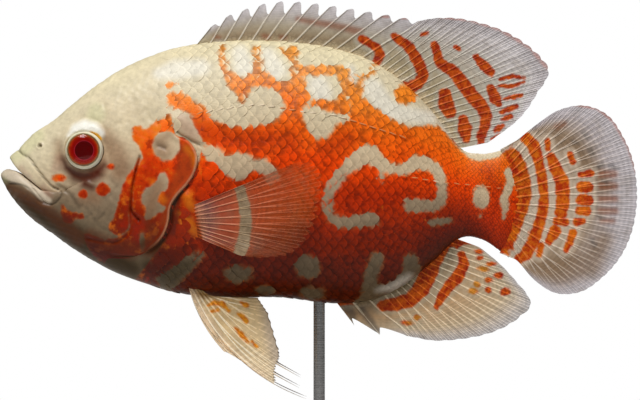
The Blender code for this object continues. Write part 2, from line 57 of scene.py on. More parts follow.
# The body's stations from the lips back: top (s, h), side (s, half width, h), bottom (s, h), how square
# it is above and below, and how far the lips press together
STATIONS = np.array([
    (14.0, 10.8, 22.5, 6.0, 0.2, 12.5, 9.4, 2.2, 2.2, 0.4),
    (8.5, 16.2, 23.3, 8.6, -0.2, 6.0, 12.8, 2.2, 2.2, 0.65),
    (4.8, 17.6, 23.8, 10.5, 0.0, 2.6, 13.6, 2.2, 2.2, 0.7),
    (4.1, 19.2, 25.8, 11.8, 0.6, 0.0, 11.4, 2.2, 2.2, 0.2),
    (8.0, 22.7, 27.6, 12.6, 2.2, 1.2, 7.6, 2.2, 2.2, 0.0),
    (14.5, 29.3, 31.0, 14.2, 4.5, 5.2, 0.9, 2.2, 2.2, 0.0),
    (23.0, 35.0, 36.0, 16.2, 8.0, 12.8, -7.5, 2.2, 2.2, 0.0),
    (32.0, 42.6, 42.0, 17.8, 10.0, 23.0, -15.0, 2.15, 2.2, 0.0),
    (42.0, 50.4, 49.0, 19.4, 11.5, 36.0, -23.9, 2.1, 2.2, 0.0),
    (53.0, 57.5, 56.5, 20.6, 12.0, 50.0, -31.7, 2.0, 2.2, 0.0),
    (66.0, 63.4, 66.0, 21.8, 12.0, 66.0, -37.5, 1.95, 2.2, 0.0),
    (79.0, 67.3, 79.0, 23.2, 12.0, 79.0, -40.9, 1.85, 2.2, 0.0),
    (100.0, 69.9, 100.0, 24.2, 13.0, 100.0, -42.7, 1.75, 2.2, 0.0),
    (123.0, 69.7, 123.0, 23.8, 13.0, 123.0, -42.6, 1.7, 2.2, 0.0),
    (145.0, 67.0, 145.0, 22.0, 12.0, 145.0, -45.2, 1.7, 2.1, 0.0),
    (163.0, 61.0, 163.0, 19.0, 11.0, 163.0, -43.8, 1.75, 2.0, 0.0),
    (178.0, 50.8, 178.0, 15.5, 9.0, 178.0, -36.8, 1.9, 2.0, 0.0),
    (190.0, 38.6, 190.0, 12.0, 6.0, 190.0, -27.0, 2.0, 2.0, 0.0),
    (202.0, 23.6, 202.0, 9.0, 3.0, 202.0, -17.4, 2.0, 2.0, 0.0),
    (211.0, 20.9, 211.0, 7.0, 1.8, 211.0, -17.7, 2.0, 2.0, 0.0),
    (220.0, 22.4, 220.0, 5.0, 0.0, 220.0, -22.9, 2.0, 2.0, 0.0),
    (223.5, 24.8, 228.0, 1.8, 0.0, 223.5, -25.4, 2.0, 2.0, 0.0),
])
LAST_STATION = len(STATIONS) - 1.0
LIPS = 3.0  # the station at the lips' rims: before it the rings run back inside the mouth

GILL_EDGE = ((77.0, 29.5), (81.4, 27.3), (84.6, 24.2), (86.9, 18.9), (85.9, 12.6), (82.8, 7.2), (78.3, 2.2),
             (75.2, -3.1), (74.3, -9.9), (71.3, -16.7), (65.6, -22.0), (58.0, -25.5), (46.0, -27.5))
GILL_PROUD = 1.2
EYE = (37.2, 21.7)
EYE_RADIUS = 8.3
EYE_Y = 14.5
NOSTRIL = (17.4, 23.8)

DORSAL_BASE = ((85.8, 67.9), (110.6, 70.0), (136.4, 68.2), (160.2, 62.3), (175.6, 52.8), (184.4, 44.9),
               (193.2, 35.2), (202.8, 22.9))
DORSAL_SPINES = 13
DORSAL_SOFT = 20
DORSAL_SPINE_SHARE = 0.6
DORSAL_SPINE_TIPS = ((92.6, 76.4), (100.5, 81.3), (117.0, 86.7), (132.0, 87.2), (155.1, 84.0),
                     (184.0, 79.0))
DORSAL_MARGIN = ((189.5, 79.9), (202.0, 79.9), (219.6, 75.2), (233.0, 67.3), (241.3, 57.2), (237.2, 48.8),
                 (228.4, 36.1), (214.3, 25.3))
ANAL_BASE = ((148.0, -45.5), (162.4, -43.6), (175.6, -37.9), (188.8, -27.9), (201.5, -17.4))
ANAL_SPINES = 3
ANAL_SOFT = 16
ANAL_SPINE_SHARE = 0.34
ANAL_SPINE_TIPS = ((155.5, -55.2), (166.2, -59.2), (178.6, -60.0))
ANAL_MARGIN = ((183.6, -60.8), (193.2, -62.0), (210.8, -59.8), (224.0, -54.6), (233.6, -45.8),
               (230.6, -40.5), (220.4, -28.9), (210.5, -20.7))
TAIL_RAYS = 16
TAIL_BASE = ((225.0, 25.2), (227.6, 13.0), (228.4, 0.0), (227.8, -14.0), (225.0, -25.6))
TAIL_MARGIN = ((227.5, 26.6), (238.0, 35.0), (246.0, 39.8), (256.5, 41.6), (264.0, 39.8), (270.5, 33.4),
               (276.0, 23.6), (279.2, 13.0), (280.0, 0.0), (278.4, -11.2), (274.6, -22.0), (267.0, -32.0),
               (257.0, -39.6), (248.0, -41.8), (239.0, -38.6), (232.6, -33.0), (227.5, -26.6))
PECTORAL_RAYS = 11
PECTORAL_BASE = ((84.7, -2.5), (89.0, -17.0))
PECTORAL_MARGIN = ((131.0, 16.8), (138.5, 15.6), (141.7, 8.6), (139.5, -2.2), (138.6, -8.8), (130.2, -22.0),
                   (116.0, -25.2), (105.0, -24.0))
PECTORAL_SPREAD = 13.0
PELVIC_BASE = ((83.4, -40.6), (94.5, -42.4))
PELVIC_RAYS = ((98.3, -66.4, -0.06), (134.4, -87.0, -0.11), (131.5, -82.2, -0.08), (132.0, -77.6, -0.06),
               (122.2, -66.0, -0.04), (117.5, -50.0, -0.02), (113.0, -43.2, 0.0))
PELVIC_WEB = (0.98, 0.8, 0.8, 0.79, 1.0, 1.0, 1.0)
PELVIC_Y = (7.5, 18.5)
PELVIC_LENGTH = 62.0


def place(s, y, h):
    """Scene coordinates, in metres, of points given along, across and above the fish's middle line."""
    s, y, h = np.broadcast_arrays(s, y, h)
    return np.stack([(s - TOTAL_LENGTH / 2) * MM, y * MM, (AXIS_HEIGHT + h) * MM], axis=-1)


def along_fish(points):
    """How far back from the chin, and how high above the middle line, points of the scene are, in mm."""
    return points[..., 0] / MM + TOTAL_LENGTH / 2, points[..., 2] / MM - AXIS_HEIGHT


def pixels(s, h):
    """Where in the photograph places of the fish are."""
    return s / PIXEL + FIRST_COLUMN, MIDDLE_ROW - h / PIXEL


def ease(low, high, x):
    """0 below low and 1 above high, smoothly. With low above high it falls instead."""
    t = np.clip((x - low) / (high - low), 0.0, 1.0)
    return t * t * (3 - 2 * t)


def catmull(rows, x):
    """The rows at fractional indices x, on the smooth curve through all of them."""
    rows = np.asarray(rows, float)
    last = len(rows) - 1
    i = np.clip(np.floor(x).astype(int), 0, last - 1)
    t = (x - i)[..., None]
    a, b, c, d = (rows[np.clip(i + j, 0, last)] for j in (-1, 0, 1, 2))
    return 0.5 * (2 * b + (c - a) * t + (2 * a - 5 * b + 4 * c - d) * t**2 + (3 * b - a - 3 * c + d) * t**3)


def even_along(points, t):
    """Points of the smooth curve at shares t of its length."""
    fine = catmull(points, np.linspace(0, len(points) - 1, 241))
    run = np.concatenate([[0.0], np.cumsum(np.linalg.norm(np.diff(fine, axis=0), axis=1))])
    return np.stack([np.interp(np.asarray(t) * run[-1], run, fine[:, axis]) for axis in (0, 1)], axis=-1)


def body_point(x, c, side):
    """The body's surface at station x; c runs from 0 on the back through 0.5 at the side to 1 below."""
    row = catmull(STATIONS, x)
    top_s, top_h, side_s, half, side_h, low_s, low_h, n_top, n_low, press = np.moveaxis(row, -1, 0)
    turn = np.minimum(c, 1 - c) * math.pi
    above = c <= 0.5
    closed = press * ease(0.08, 0.5, turn * 2 / math.pi)
    end_s = np.where(above, top_s, low_s)
    end_h = np.where(above, top_h, low_h)
    end_s = end_s + ((top_s + low_s) / 2 - end_s) * closed
    end_h = end_h + ((top_h + low_h) / 2 - end_h) * closed
    power = 2 / np.where(above, n_top, n_low)
    reach = np.maximum(np.cos(turn), 0.0) ** power
    out = np.maximum(np.sin(turn), 0.0) ** power
    across = side * half * out
    return np.stack([side_s + (end_s - side_s) * reach, across, side_h + (end_h - side_h) * reach], -1)


class Surface:
    """The bare body as a table of points even round each ring, to read places and normals from."""

    RINGS = 420
    ROUND = 180

    def __init__(self):
        self.x = np.linspace(0.0, LAST_STATION - 0.02, self.RINGS)
        fine_c = np.linspace(0.0, 1.0, 721)
        ring_x, ring_c = np.meshgrid(self.x, fine_c, indexing="ij")
        fine = body_point(ring_x, ring_c, -1.0)
        steps = np.linalg.norm(np.diff(fine, axis=1), axis=-1)
        run = np.concatenate([np.zeros((len(self.x), 1)), np.cumsum(steps, axis=1)], axis=1)
        self.half_round = run[:, -1]
        shares = np.linspace(0.0, 1.0, self.ROUND)
        even_c = np.array([np.interp(shares * row[-1], row, fine_c) for row in run])
        self.points = body_point(np.repeat(self.x[:, None], self.ROUND, 1), even_c, -1.0)

    def at(self, x, r, side):
        """Points and outward normals at stations x and shares r of the way from back to belly."""
        middle = self.read(x, r)
        step = 0.02
        ahead = self.read(x + step, r) - self.read(x - step, r)
        down = self.read(x, r + 0.004) - self.read(x, r - 0.004)
        normal = np.cross(down, ahead)
        normal /= np.linalg.norm(normal, axis=-1, keepdims=True) + 1e-12
        turn = np.stack([np.ones_like(x), -side * np.ones_like(x), np.ones_like(x)], -1)
        return middle * turn, normal * turn

    def find(self, s, h):
        """Station and share round for places on the trunk's side."""
        x = self.station(s)
        r = np.empty(len(x))
        for k, (one, height) in enumerate(zip(x, h)):
            ring = self.read(np.full(self.ROUND, one), np.linspace(0, 1, self.ROUND))
            r[k] = np.interp(-height, -ring[:, 2], np.linspace(0, 1, self.ROUND))
        return x, r

    def station(self, s):
        """The station whose widest point is s back along the trunk."""
        outer = self.x > LIPS + 1
        return np.interp(s, catmull(STATIONS, self.x[outer])[:, 2], self.x[outer])

    def read(self, x, r):
        """Points between the table's own. Past the back or the belly they run on round the other side."""
        across = np.where(r < 0, -1.0, np.where(r > 1, -1.0, 1.0))
        r = np.abs(r)
        r = np.where(r > 1, 2 - r, r)
        i = np.clip((x - self.x[0]) / (self.x[1] - self.x[0]), 0, self.RINGS - 1.001)
        j = np.clip(r * (self.ROUND - 1), 0, self.ROUND - 1.001)
        i0, j0 = i.astype(int), j.astype(int)
        fi, fj = (i - i0)[..., None], (j - j0)[..., None]
        p = self.points
        low = p[i0, j0] * (1 - fj) + p[i0, j0 + 1] * fj
        high = p[i0 + 1, j0] * (1 - fj) + p[i0 + 1, j0 + 1] * fj
        found = low * (1 - fi) + high * fi
        found[..., 1] *= across
        return found


# Marks, in pixels of the photograph. A stroke is a chain of (x, y, half width), a patch an outline.
FIELD = ((190, 114), (195, 118), (202.4, 115), (210.6, 120.4), (222.9, 126.5), (241, 128.6), (261.6, 125.5),
         (273.9, 122.4), (278, 115.3), (282, 109), (278, 100), (276, 90), (284, 80), (296, 82), (304, 92),
         (304.5, 100), (300.4, 108), (296.3, 111), (300, 120), (322, 128), (352, 118), (350, 92), (338, 86),
         (338, 76), (348, 78), (352, 88), (358, 91), (361, 100), (369.8, 106), (380, 112), (388, 118.4),
         (396.3, 122.4), (402.4, 126.5), (414.7, 125.5), (439, 122), (446, 133), (462, 152), (478, 160),
         (500, 157), (508, 146), (518, 142), (528, 160), (536, 190), (534, 212), (526, 236), (510, 256),
         (490, 249), (472, 243), (458, 246), (440, 264), (428, 282), (414, 298), (380, 300), (366, 300),
         (346, 306), (150, 320), (120, 300), (150, 262), (168, 238), (174, 205), (196, 176), (200, 158),
         (206, 143), (196, 128))
ORANGE_STROKES = (
    ((220, 48, 4.6), (220, 59, 4.6), (224, 73, 5), (231, 84, 6.5), (239.6, 91, 6), (241.6, 101, 4)),
    ((254, 48, 5), (255, 62, 5), (257, 73, 5.4), (248, 84, 5)),
    ((280, 50, 4.2), (288.5, 57, 4.8), (293.7, 49, 3.8)),
    ((289.5, 57, 4.6), (292.6, 75.5, 5), (300, 86, 5)),
    ((303, 71, 4.6), (320, 70, 4.8), (343, 71, 4.8), (343, 86, 5.4), (342, 108, 6)),
    ((231, 84, 5), (258, 81, 5), (274, 85, 5), (290, 92, 5)),
    ((362, 39, 4), (376, 47, 4), (381, 55, 4), (374, 65, 4), (364, 75.5, 4), (358, 86, 4), (356, 94, 4)),
    ((395, 37, 4), (409, 47, 5), (419, 63, 5.5), (423, 75.5, 5.5), (418, 84, 5.5), (408, 88, 6)),
    ((434.5, 45, 4), (440, 63, 5), (455, 73, 6), (463.8, 85, 6.5), (472.4, 95.8, 7), (482, 106.6, 6.5),
     (486.5, 116.4, 5.5), (484.4, 127.2, 5), (481, 136, 4.5), (481, 143, 3)),
    ((445, 95, 6.5), (446, 104, 8), (450, 112, 6)),
    ((463, 120, 5), (465, 129, 7), (466, 139, 4)),
    ((476, 57, 3), (484, 66, 5), (491, 73, 4)), ((491, 88, 4), (495, 98, 6), (499, 104, 3)),
    ((500, 79, 1.4), (512, 76, 2.2), (524, 78, 1.4)), ((498, 86, 1.4), (512, 86, 2), (524, 82, 1.2)),
    ((504, 99, 1.4), (514, 97, 2.2), (522, 95, 1.4)), ((501, 112, 2), (509, 109.5, 3), (517, 106, 2)),
    ((503, 119, 2), (510, 116.5, 2.6)), ((495, 131, 2), (499, 128, 3), (503, 126, 2)),
    ((492, 139, 1.4), (500, 136, 2)), ((455, 47, 1.6), (459, 49, 2)), ((421, 35, 1.4), (427, 33, 2)),
    ((164, 87, 2.5), (175, 85, 2.5)),
)
ORANGE_BLOBS = ((402, 93, 11.5, 11.5), (173.5, 101, 9.5, 9.5))
NAPE_STROKES = (((183, 103, 5), (193, 108, 6.5), (201, 116, 5.5)),)
OVER_PALE = (((316, 105, 5), (326, 105, 6), (342, 108, 6)),)  # orange again, inside a pale island
TAIL_STROKES = (
    ((526, 138, 5.5), (533, 146, 6.5), (538, 160, 5.5), (542, 177, 5), (544, 197, 4.8), (543, 211, 5),
     (538, 228, 5.5), (533, 242, 6), (526, 254, 6), (519, 259, 5)),
    ((547.4, 141, 2.6), (548, 149, 2.6)),
    ((551, 157, 4.5), (556, 168, 6), (562, 182, 6.8), (563, 199, 6.8), (561, 213, 6)),
    ((557, 221, 4), (565, 222, 4)), ((555, 231, 6), (549, 241, 4)), ((541, 245, 3.2), (539, 255, 2.6)),
    ((570, 154, 2.6), (573, 162, 3)), ((581, 175, 3), (591, 173, 3)), ((582, 187, 5.5), (588, 187, 5.5)),
    ((581, 200, 5.5), (588, 200, 5.5)), ((580, 211, 4.5), (587, 211, 4.5)), ((577, 222, 4), (583, 221, 3)),
    ((573, 233, 4), (570, 242, 3.4), (566, 250, 2.6)),
)
ANAL_STROKES = (
    ((438, 252, 6), (431, 273, 6.5), (421, 290, 7.5), (410, 300, 7), (396, 304, 6.5), (383, 305.6, 5.5)),
    ((461.7, 255, 4), (464.5, 263.5, 5), (457.5, 277.5, 6), (449, 286, 5.5), (442, 296, 4.5),
     (436.5, 307, 2.6)),
)
ANAL_SPOTS = ((478.6, 251.6, 4, 2), (479, 258, 3, 2), (491, 264, 4, 2), (483.5, 269, 5, 2.5),
              (498, 275.4, 4.5, 3), (488.4, 280, 4, 3), (476.4, 284.5, 3.5, 3), (473, 291, 5, 3),
              (488, 290, 3, 3), (505, 291.6, 5, 4), (408, 323, 6, 2.4), (417, 317.5, 3.4, 2.6))
PALE_STROKES = (
    ((365.7, 154, 9), (353.5, 159, 8), (341, 169.4, 6.5), (331, 181.6, 6.5), (324.5, 196, 5.8),
     (323.5, 210, 5.5), (330, 220.4, 5.5), (341, 223.5, 5.5), (353.5, 222.4, 6), (363.7, 218.4, 8),
     (374, 222.4, 4)),
    ((365.7, 152, 9), (376, 163.3, 6), (386, 167.3, 5.5), (396.3, 169.4, 5.5), (406.5, 166, 6.5),
     (414.7, 161, 7.5), (425, 163.3, 6.5), (433, 167.3, 5.5), (438, 177.6, 5.5), (440.2, 189.8, 5.5),
     (438.2, 202, 5.5), (431, 207, 5.5), (420.8, 206, 6), (408, 206, 8)),
    ((379, 166, 5), (379, 182, 3)),
    ((198, 252.5, 4), (191, 259, 5.5), (183, 266, 6.5), (171, 274, 8.5), (163, 282, 9)),
    ((374, 258, 7), (367.8, 273.5, 7), (366.7, 289.8, 7.5), (362, 302, 7)),
    ((407, 261, 7.5), (409, 273, 9.5), (402.4, 285.7, 9.5), (388, 293, 9), (374, 297, 10), (360, 303, 8)),
    ((453, 252, 5), (442, 272, 5), (432, 290, 5), (424, 303, 5.5), (411, 311, 5), (398.6, 311, 5)),
    ((427, 223.5, 3), (436, 222.5, 4), (448, 221, 3)),
    ((508.9, 173, 5.5), (511, 181, 5), (506, 191, 3.6), (502, 199, 4.2), (504, 209, 3.5), (502, 219, 1.8)),
    ((516.5, 145, 4.5), (523, 149, 4.5), (530, 163, 4), (534, 181, 3.6), (535.5, 197, 4), (531, 214, 4.4),
     (526, 228, 4.4), (520, 242, 4), (508, 252, 4)),
)
PALE_BLOBS = ((479.4, 197.3, 8.5, 12), (479, 216, 2, 2.4), (303.9, 266.3, 12.5, 12.5),
              (308.6, 292.9, 12, 7), (235, 273.5, 14, 9), (261.6, 289.8, 9, 5))
PALE_PATCHES = (
    ((305, 82), (321, 75.5), (333.5, 82), (336.5, 96), (331, 100), (317, 98), (312, 104), (315, 112),
     (329, 110), (340, 114), (346, 119.5), (335, 121.4), (331, 125.5), (327, 133.7), (318.8, 140.8),
     (310.6, 139.8), (304.5, 130.6), (302.4, 122.4), (297, 114), (303, 102), (306, 92)),
    ((204.5, 151), (210.6, 146), (216.7, 148), (223.9, 156), (233, 152), (247.3, 155), (255.5, 159),
     (263.7, 160.2), (269.8, 164.3), (277, 169.4), (278, 175.5), (273.9, 183.7), (269.8, 188.8),
     (263.7, 185.7), (261.6, 177.6), (260.6, 171.4), (249.4, 170.4), (243.3, 175.5), (235, 181.6),
     (228, 178.6), (220.8, 171.4), (212.7, 165.3), (206.5, 159.2)),
    ((441, 122.4), (451, 126.5), (463.7, 145), (472, 149), (486, 153), (500, 153), (500, 157), (486, 159.5),
     (474, 161), (463.7, 155), (455.5, 143), (445, 130.6)),
)
GILL_PATCHES = (
    ((134, 126), (142, 127), (145, 131), (151.4, 126.5), (156.5, 121.4), (161.6, 117.3), (168.3, 114),
     (170, 121.4), (176, 130), (184, 137), (194, 145), (198, 152), (196, 171), (189, 184), (180, 192),
     (172, 205), (170, 222), (165, 237), (155, 246), (141, 254), (118, 258), (96, 258), (92, 250),
     (104, 240), (120, 238), (132, 228), (133, 212), (134, 190), (137, 171), (141, 162), (145, 157),
     (142, 151), (140, 145), (136, 142), (133, 137)),
    ((129, 174.5), (135, 168), (135.6, 177.6), (133, 191.8), (131, 207), (130, 220.4), (130.5, 229.6),
     (120.8, 236), (110.6, 231.6), (109.6, 224.5), (114.7, 219.4), (117.8, 209), (120.8, 198),
     (125, 184.7)),
)
PREOPERCLE = ((140.5, 159, 1), (136.5, 172, 2), (133, 192, 2.4), (132, 208, 2.4), (132, 222, 2))
GILL_PALE = (
    ((164.9, 171), (170.9, 180.3), (168.2, 190.4), (161.5, 193), (158.8, 199), (161, 204), (167, 206),
     (166, 211), (158, 214), (152, 219), (146.5, 221), (146, 213), (147, 207), (142.8, 203.8), (142, 197),
     (145.5, 189), (152.1, 185.7), (157, 182), (160, 174)),
    ((168.3, 115.3), (175, 111.2), (188, 113.3), (194.3, 118.4), (195.3, 126.5), (200.4, 134.7),
     (206.5, 142.9), (202.4, 144.9), (190, 139.8), (182, 135.7), (175, 128.6), (169.8, 122.4)),
)
GILL_PALE_BLOBS = ((167.4, 146, 13.5, 15), (143.6, 241.8, 3, 9))
FACE_SPOTS = ((112, 166.8, 3.6, 2.8), (104.5, 189.8, 6.6, 6.4), (84.6, 194.4, 4.4, 4.4), (60, 178, 7, 3.6),
              (81, 216, 4, 3))
FACE_STROKES = (((64, 206, 1.6), (66, 213, 4), (70, 217, 6.5), (76, 215, 3.4)),)
CHIN_PATCH = ((84, 231), (97, 237), (110, 242), (122, 243), (131, 238), (133, 250), (150, 252), (140, 262),
              (118, 266), (100, 262), (88, 248))
# Soft tints of the head, the body and the fins: how wide each one's border is in pixels, and its strokes
FACE_TINTS = {
    "white": (4.5, (((72, 136, 2), (78, 130, 5), (86, 127.5, 6), (94, 129, 5), (101, 134, 3)),)),
    # pale: painted highlights along the lower lip's crest, beside the nostril and on the pectoral fin's
    # root, over the lip's own paler colour
    "pale": (2.5, (((4, 172.5, 4), (14, 176, 5.5), (26, 180, 5), (35, 188, 3.6), (43, 196, 3),
                    (50, 201, 2.4)),
                   ((42, 144.6, 0.5), (43, 144.2, 0.5)), ((188.5, 202, 2), (190, 204, 2)))),
    # brown: a painted shadow in a crescent under the eye
    "brown": (8, (((65, 160, 0.5), (68, 168, 3), (77, 175, 5), (87, 178, 6), (97, 174, 5), (105, 165, 1)),
                  ((86, 184, 3), (93, 187, 2)))),
    # tan: the cheek's own brown, and painted shade behind the eye and in the gill cover's dimple
    "tan": (10, (((106, 136, 5), (116, 150, 8), (122, 170, 8)), ((99, 148, 6), (102, 168, 7)),
                 ((59, 144, 1), (62, 158, 3)), ((84, 198, 2), (96, 197, 3)), ((160, 186, 4), (150, 210, 5)),
                 ((168, 136, 3), (159, 144, 7), (164, 152, 6)))),
    "rust": (6, (((8, 186, 2), (18, 192, 4), (32, 200, 5), (48, 210, 5), (62, 222, 5), (80, 238, 6)),
                 ((92, 236, 6), (112, 244, 6), (132, 250, 8)),
                 ((150, 222, 4), (156, 236, 6), (150, 248, 8)))),
    "pink": (5, (((44, 188, 2), (48, 196, 4)), ((22, 168, 1), (30, 177, 1)),
                 ((170, 116, 6), (184, 122, 6), (196, 136, 4)), ((60, 158, 3), (58, 168, 4)))),
    "green": (6, (((14, 158, 4), (22, 150, 6), (36, 136, 7)), ((97, 112, 7), (97, 114, 8)),
                  ((2, 172, 3), (5, 180, 3)))),
    "gold": (6, (((187, 197, 2), (192, 206, 3)), ((181, 214, 1), (189, 222, 4), (196, 232, 2)),
                 ((188, 149, 1), (195, 156, 1), (197, 166, 1)), ((158, 128, 3), (166, 126, 3)),
                 ((160, 133, 2), (165, 131, 2)), ((154, 182, 1), (164, 200, 1.5)))),
    # hollow: painted shadow at the pectoral fin's root and behind the gill cover's lower edge
    "hollow": (5, (((202, 216, 1), (205, 230, 3)), ((180, 200, 1), (178, 216, 2), (174, 232, 2)))),
    "streak": (0.8, (((92.5, 133, 1.4), (98, 135.5, 1.8), (102, 139, 1.2)),)),
    "cover": (5, (((186, 150, 6), (188, 166, 8), (180, 184, 7), (171, 202, 5), (166, 222, 4)),)),
}
BODY_TINTS = {
    "cool": (7, (((240, 53, 6), (244, 66, 8)), ((268, 54, 5), (276, 70, 8)), ((318, 86, 8), (322, 94, 8)),
                 ((350, 70, 3), (351, 82, 3)), ((372, 88, 8), (386, 108, 8), (400, 114, 7), (430, 118, 5)),
                 ((160, 74, 4), (176, 70, 8), (202, 68, 6)), ((378, 290, -1), (394, 286, 3), (409, 277, 1)),
                 ((446, 126, 5), (456, 134, 4)))),
    "red": (14, (((185, 122, 3), (205, 132, 7), (240, 138, 8), (288, 140, 8)),
                 ((325, 150, 3), (345, 141, 8)), ((340, 190, 9), (352, 202, 9), (400, 192, 10)),
                 ((148, 160, 3), (152, 176, 4)), ((186, 150, 1), (190, 170, 3)),
                 ((208, 190, 3), (220, 196, 3)), ((488, 174, 3), (498, 196, 7), (492, 218, 4)))),
    # painted shade under the jaw, the throat and the breast
    "underside_shade": (9, (((22, 200, 2), (36, 210, 6), (58, 226, 9), (84, 243, 10), (108, 258, 10), (132, 270, 7)),
                 ((146, 244, 5), (170, 258, 8), (186, 250, 3)),
                 ((150, 266, 5), (170, 275, 9), (192, 262, 4)))),
}
FIN_TINTS = {
    "rust": (4, (((298, 19, 1.5), (312, 22, 2), (328, 24.5, 2.5), (345, 28, 2.5), (360, 32, 3)),
                 ((216, 37, 1), (219, 38, 1)), ((264, 36, 1.4), (268, 37, 1.4)),
                 ((281, 37, 1), (285, 37.5, 1)), ((557, 127, 2), (564, 124, 2)),
                 ((600, 174, 3), (614, 174, 3)), ((601, 186, 2.6), (615, 186, 2.6)),
                 ((601, 199, 2.6), (615, 199, 2.6)), ((601, 211, 2.6), (615, 211, 2.6)),
                 ((602, 221, 1.4), (613, 221, 1.4)))),
    "tan": (12, (((536, 264, 6), (560, 270, 12), (590, 264, 10), (604, 240, 6)),
                 ((556, 136, 3), (576, 150, 6), (604, 186, 6)),
                 ((216, 38, 0), (250, 34, 1), (300, 37, 1), (350, 42, 0)))),
    "flesh": (5, (((190, 290, 3), (198, 308, 5), (212, 332, 6), (224, 348, 6), (240, 362, 5),
                   (262, 378, 4)),)),
    "blush": (1.6, (((440, 17, 1), (470, 20, 1), (500, 29, 1.4), (530, 47, 1.6), (548, 68, 1.4)),
                    ((572, 104, 1), (598, 108, 1.6), (614, 121, 1.6), (628, 145, 1.4), (637, 172, 1)),
                    ((380, 16, 1), (388, 17, 1)), ((402, 18, 1), (410, 18, 1)))),
    "gold": (5, (((470, 295, 4), (474, 286, 4), (483, 270, 5)), ((410, 322, 2), (419, 317, 2)))),
    "grey": (9, (((266, 296, 4), (274, 330, 7), (280, 362, 5)),
                 ((400, 10, 8), (520, 30, 8), (548, 80, 6)))),
    # painted shade on the pectoral fin's lower part and at its root
    "pectoral_shade": (14, (((222, 244, 8), (262, 250, 12), (300, 236, 10)), ((203, 222, 1), (205, 230, 1)))),
    "dark": (3, (((584, 133, 1), (588, 138, 1.4)), ((590, 150, 1.6), (593, 154, 1.4)),
                 ((597, 168, 1.4), (602, 164, 1)), ((592, 240, 1.6), (595, 245, 1.2)),
                 ((603, 181, 0.6), (607, 183, 0.8)), ((573, 141, 1), (577, 143, 1)),
                 ((611, 166, 1), (617, 168, 0.6)), ((598, 216, 0.6), (602, 218, 0.8)),
                 ((345, 306, 3), (352, 314, 3), (354, 322, 2)),
                 ((362, 310, 3), (371, 322, 3), (377, 331, 2)))),
}


def rounded(points):
    """An outline with its corners cut off twice, each time halving the angles."""
    line = np.array(points, float)
    for _ in range(2):
        after = np.roll(line, -1, axis=0)
        line = np.stack([line * 0.75 + after * 0.25, line * 0.25 + after * 0.75], axis=1).reshape(-1, 2)
    return line


def to_segment(x, y, start, end):
    """The share along a segment at which its nearest point lies, and how far away that is."""
    (x0, y0), (x1, y1) = start, end
    dx, dy = x1 - x0, y1 - y0
    t = np.clip(((x - x0) * dx + (y - y0) * dy) / (dx * dx + dy * dy), 0, 1)
    return t, np.hypot(x - x0 - dx * t, y - y0 - dy * t)


def in_stroke(x, y, points):
    """How far inside a stroke, in pixels, and negative outside."""
    best = np.full(np.shape(x), -1e3)
    for (*start, w0), (*end, w1) in zip(points, points[1:]):
        t, away = to_segment(x, y, start, end)
        best = np.maximum(best, w0 + (w1 - w0) * t - away)
    return best


def in_blob(x, y, blob):
    """The same for an ellipse: its middle and its half width and height."""
    cx, cy, rx, ry = blob
    return (1 - np.hypot((x - cx) / rx, (y - cy) / ry)) * min(rx, ry)


def in_patch(x, y, points):
    """The same for an outline."""
    line = rounded(points)
    inside = np.zeros(np.shape(x), bool)
    nearest = np.full(np.shape(x), 1e3)
    for start, end in zip(line, np.roll(line, -1, axis=0)):
        nearest = np.minimum(nearest, to_segment(x, y, start, end)[1])
        (x0, y0), (x1, y1) = start, end
        if y0 != y1:
            inside ^= ((y0 > y) != (y1 > y)) & (x < (x1 - x0) * (y - y0) / (y1 - y0) + x0)
    return np.where(inside, nearest, -nearest)


def union(x, y, strokes=(), blobs=(), patches=()):
    """How far inside any of the marks."""
    best = np.full(np.shape(x), -1e3)
    for stroke in strokes:
        best = np.maximum(best, in_stroke(x, y, stroke))
    for blob in blobs:
        best = np.maximum(best, in_blob(x, y, blob))
    for patch in patches:
        best = np.maximum(best, in_patch(x, y, patch))
    return best


def to_photo(points):
    """Pixels of the photograph for points of the scene. The far side's markings wander off the near
    side's, more the further they are from the back and the belly."""
    x, y = pixels(*along_fish(points))
    far = ease(1.0, 12.0, points[..., 1] / MM)
    x = x + far * (15 * np.sin(y / 31 + 0.6) + 6 * np.sin(x / 23 + 1.0) + 5 * np.sin((x + y) / 17))
    y = y + far * (12 * np.sin(x / 37 + 2.0) + 6 * np.sin(y / 19 + 0.5))
    return x, y


def orange_on_body(points):
    """How far inside the orange markings of the body and the middle fins, mm."""
    x, y = to_photo(points)
    strokes = ORANGE_STROKES + TAIL_STROKES + NAPE_STROKES
    field = union(x, y, strokes, ORANGE_BLOBS + ANAL_SPOTS, (FIELD,))
    field = np.minimum(field, -union(x, y, PALE_STROKES, PALE_BLOBS, PALE_PATCHES))
    field = np.maximum(field, union(x, y, ANAL_STROKES + OVER_PALE))
    gills = union(x, y, (PREOPERCLE,), patches=GILL_PATCHES)
    gills = np.minimum(gills, -union(x, y, blobs=GILL_PALE_BLOBS, patches=GILL_PALE))
    face = union(x, y, FACE_STROKES, FACE_SPOTS, (CHIN_PATCH,))
    cheek = np.maximum(gills, face)
    ahead = behind_gill(points) < 0
    nape = (along_fish(points)[1] > 31) & (y < 113)
    cheek = np.where(nape, np.maximum(cheek, field), cheek)
    return np.where(ahead, cheek, field) * PIXEL


def gill_line(count):
    """Points down the whole of the head's rear edge: the nape, the gill cover's edge and the throat."""
    line = np.array(((74.5, 90.0), (76.0, 48.0)) + GILL_EDGE + ((40.0, -60.0),))
    return catmull(line, np.linspace(0, len(line) - 1, count))


def behind_gill(points):
    """How far behind the gill cover's edge, mm. It is negative on the head."""
    s, h = along_fish(points)
    fine = gill_line(121)
    order = np.argsort(-fine[:, 1], kind="stable")
    edge = np.interp(-h, -fine[order, 1], fine[order, 0])
    nearest = np.full(np.shape(s), 1e3)
    for start, end in zip(fine[::2], fine[2::2]):
        nearest = np.minimum(nearest, to_segment(s, h, start, end)[1])
    return np.where(s > edge, nearest, -nearest)


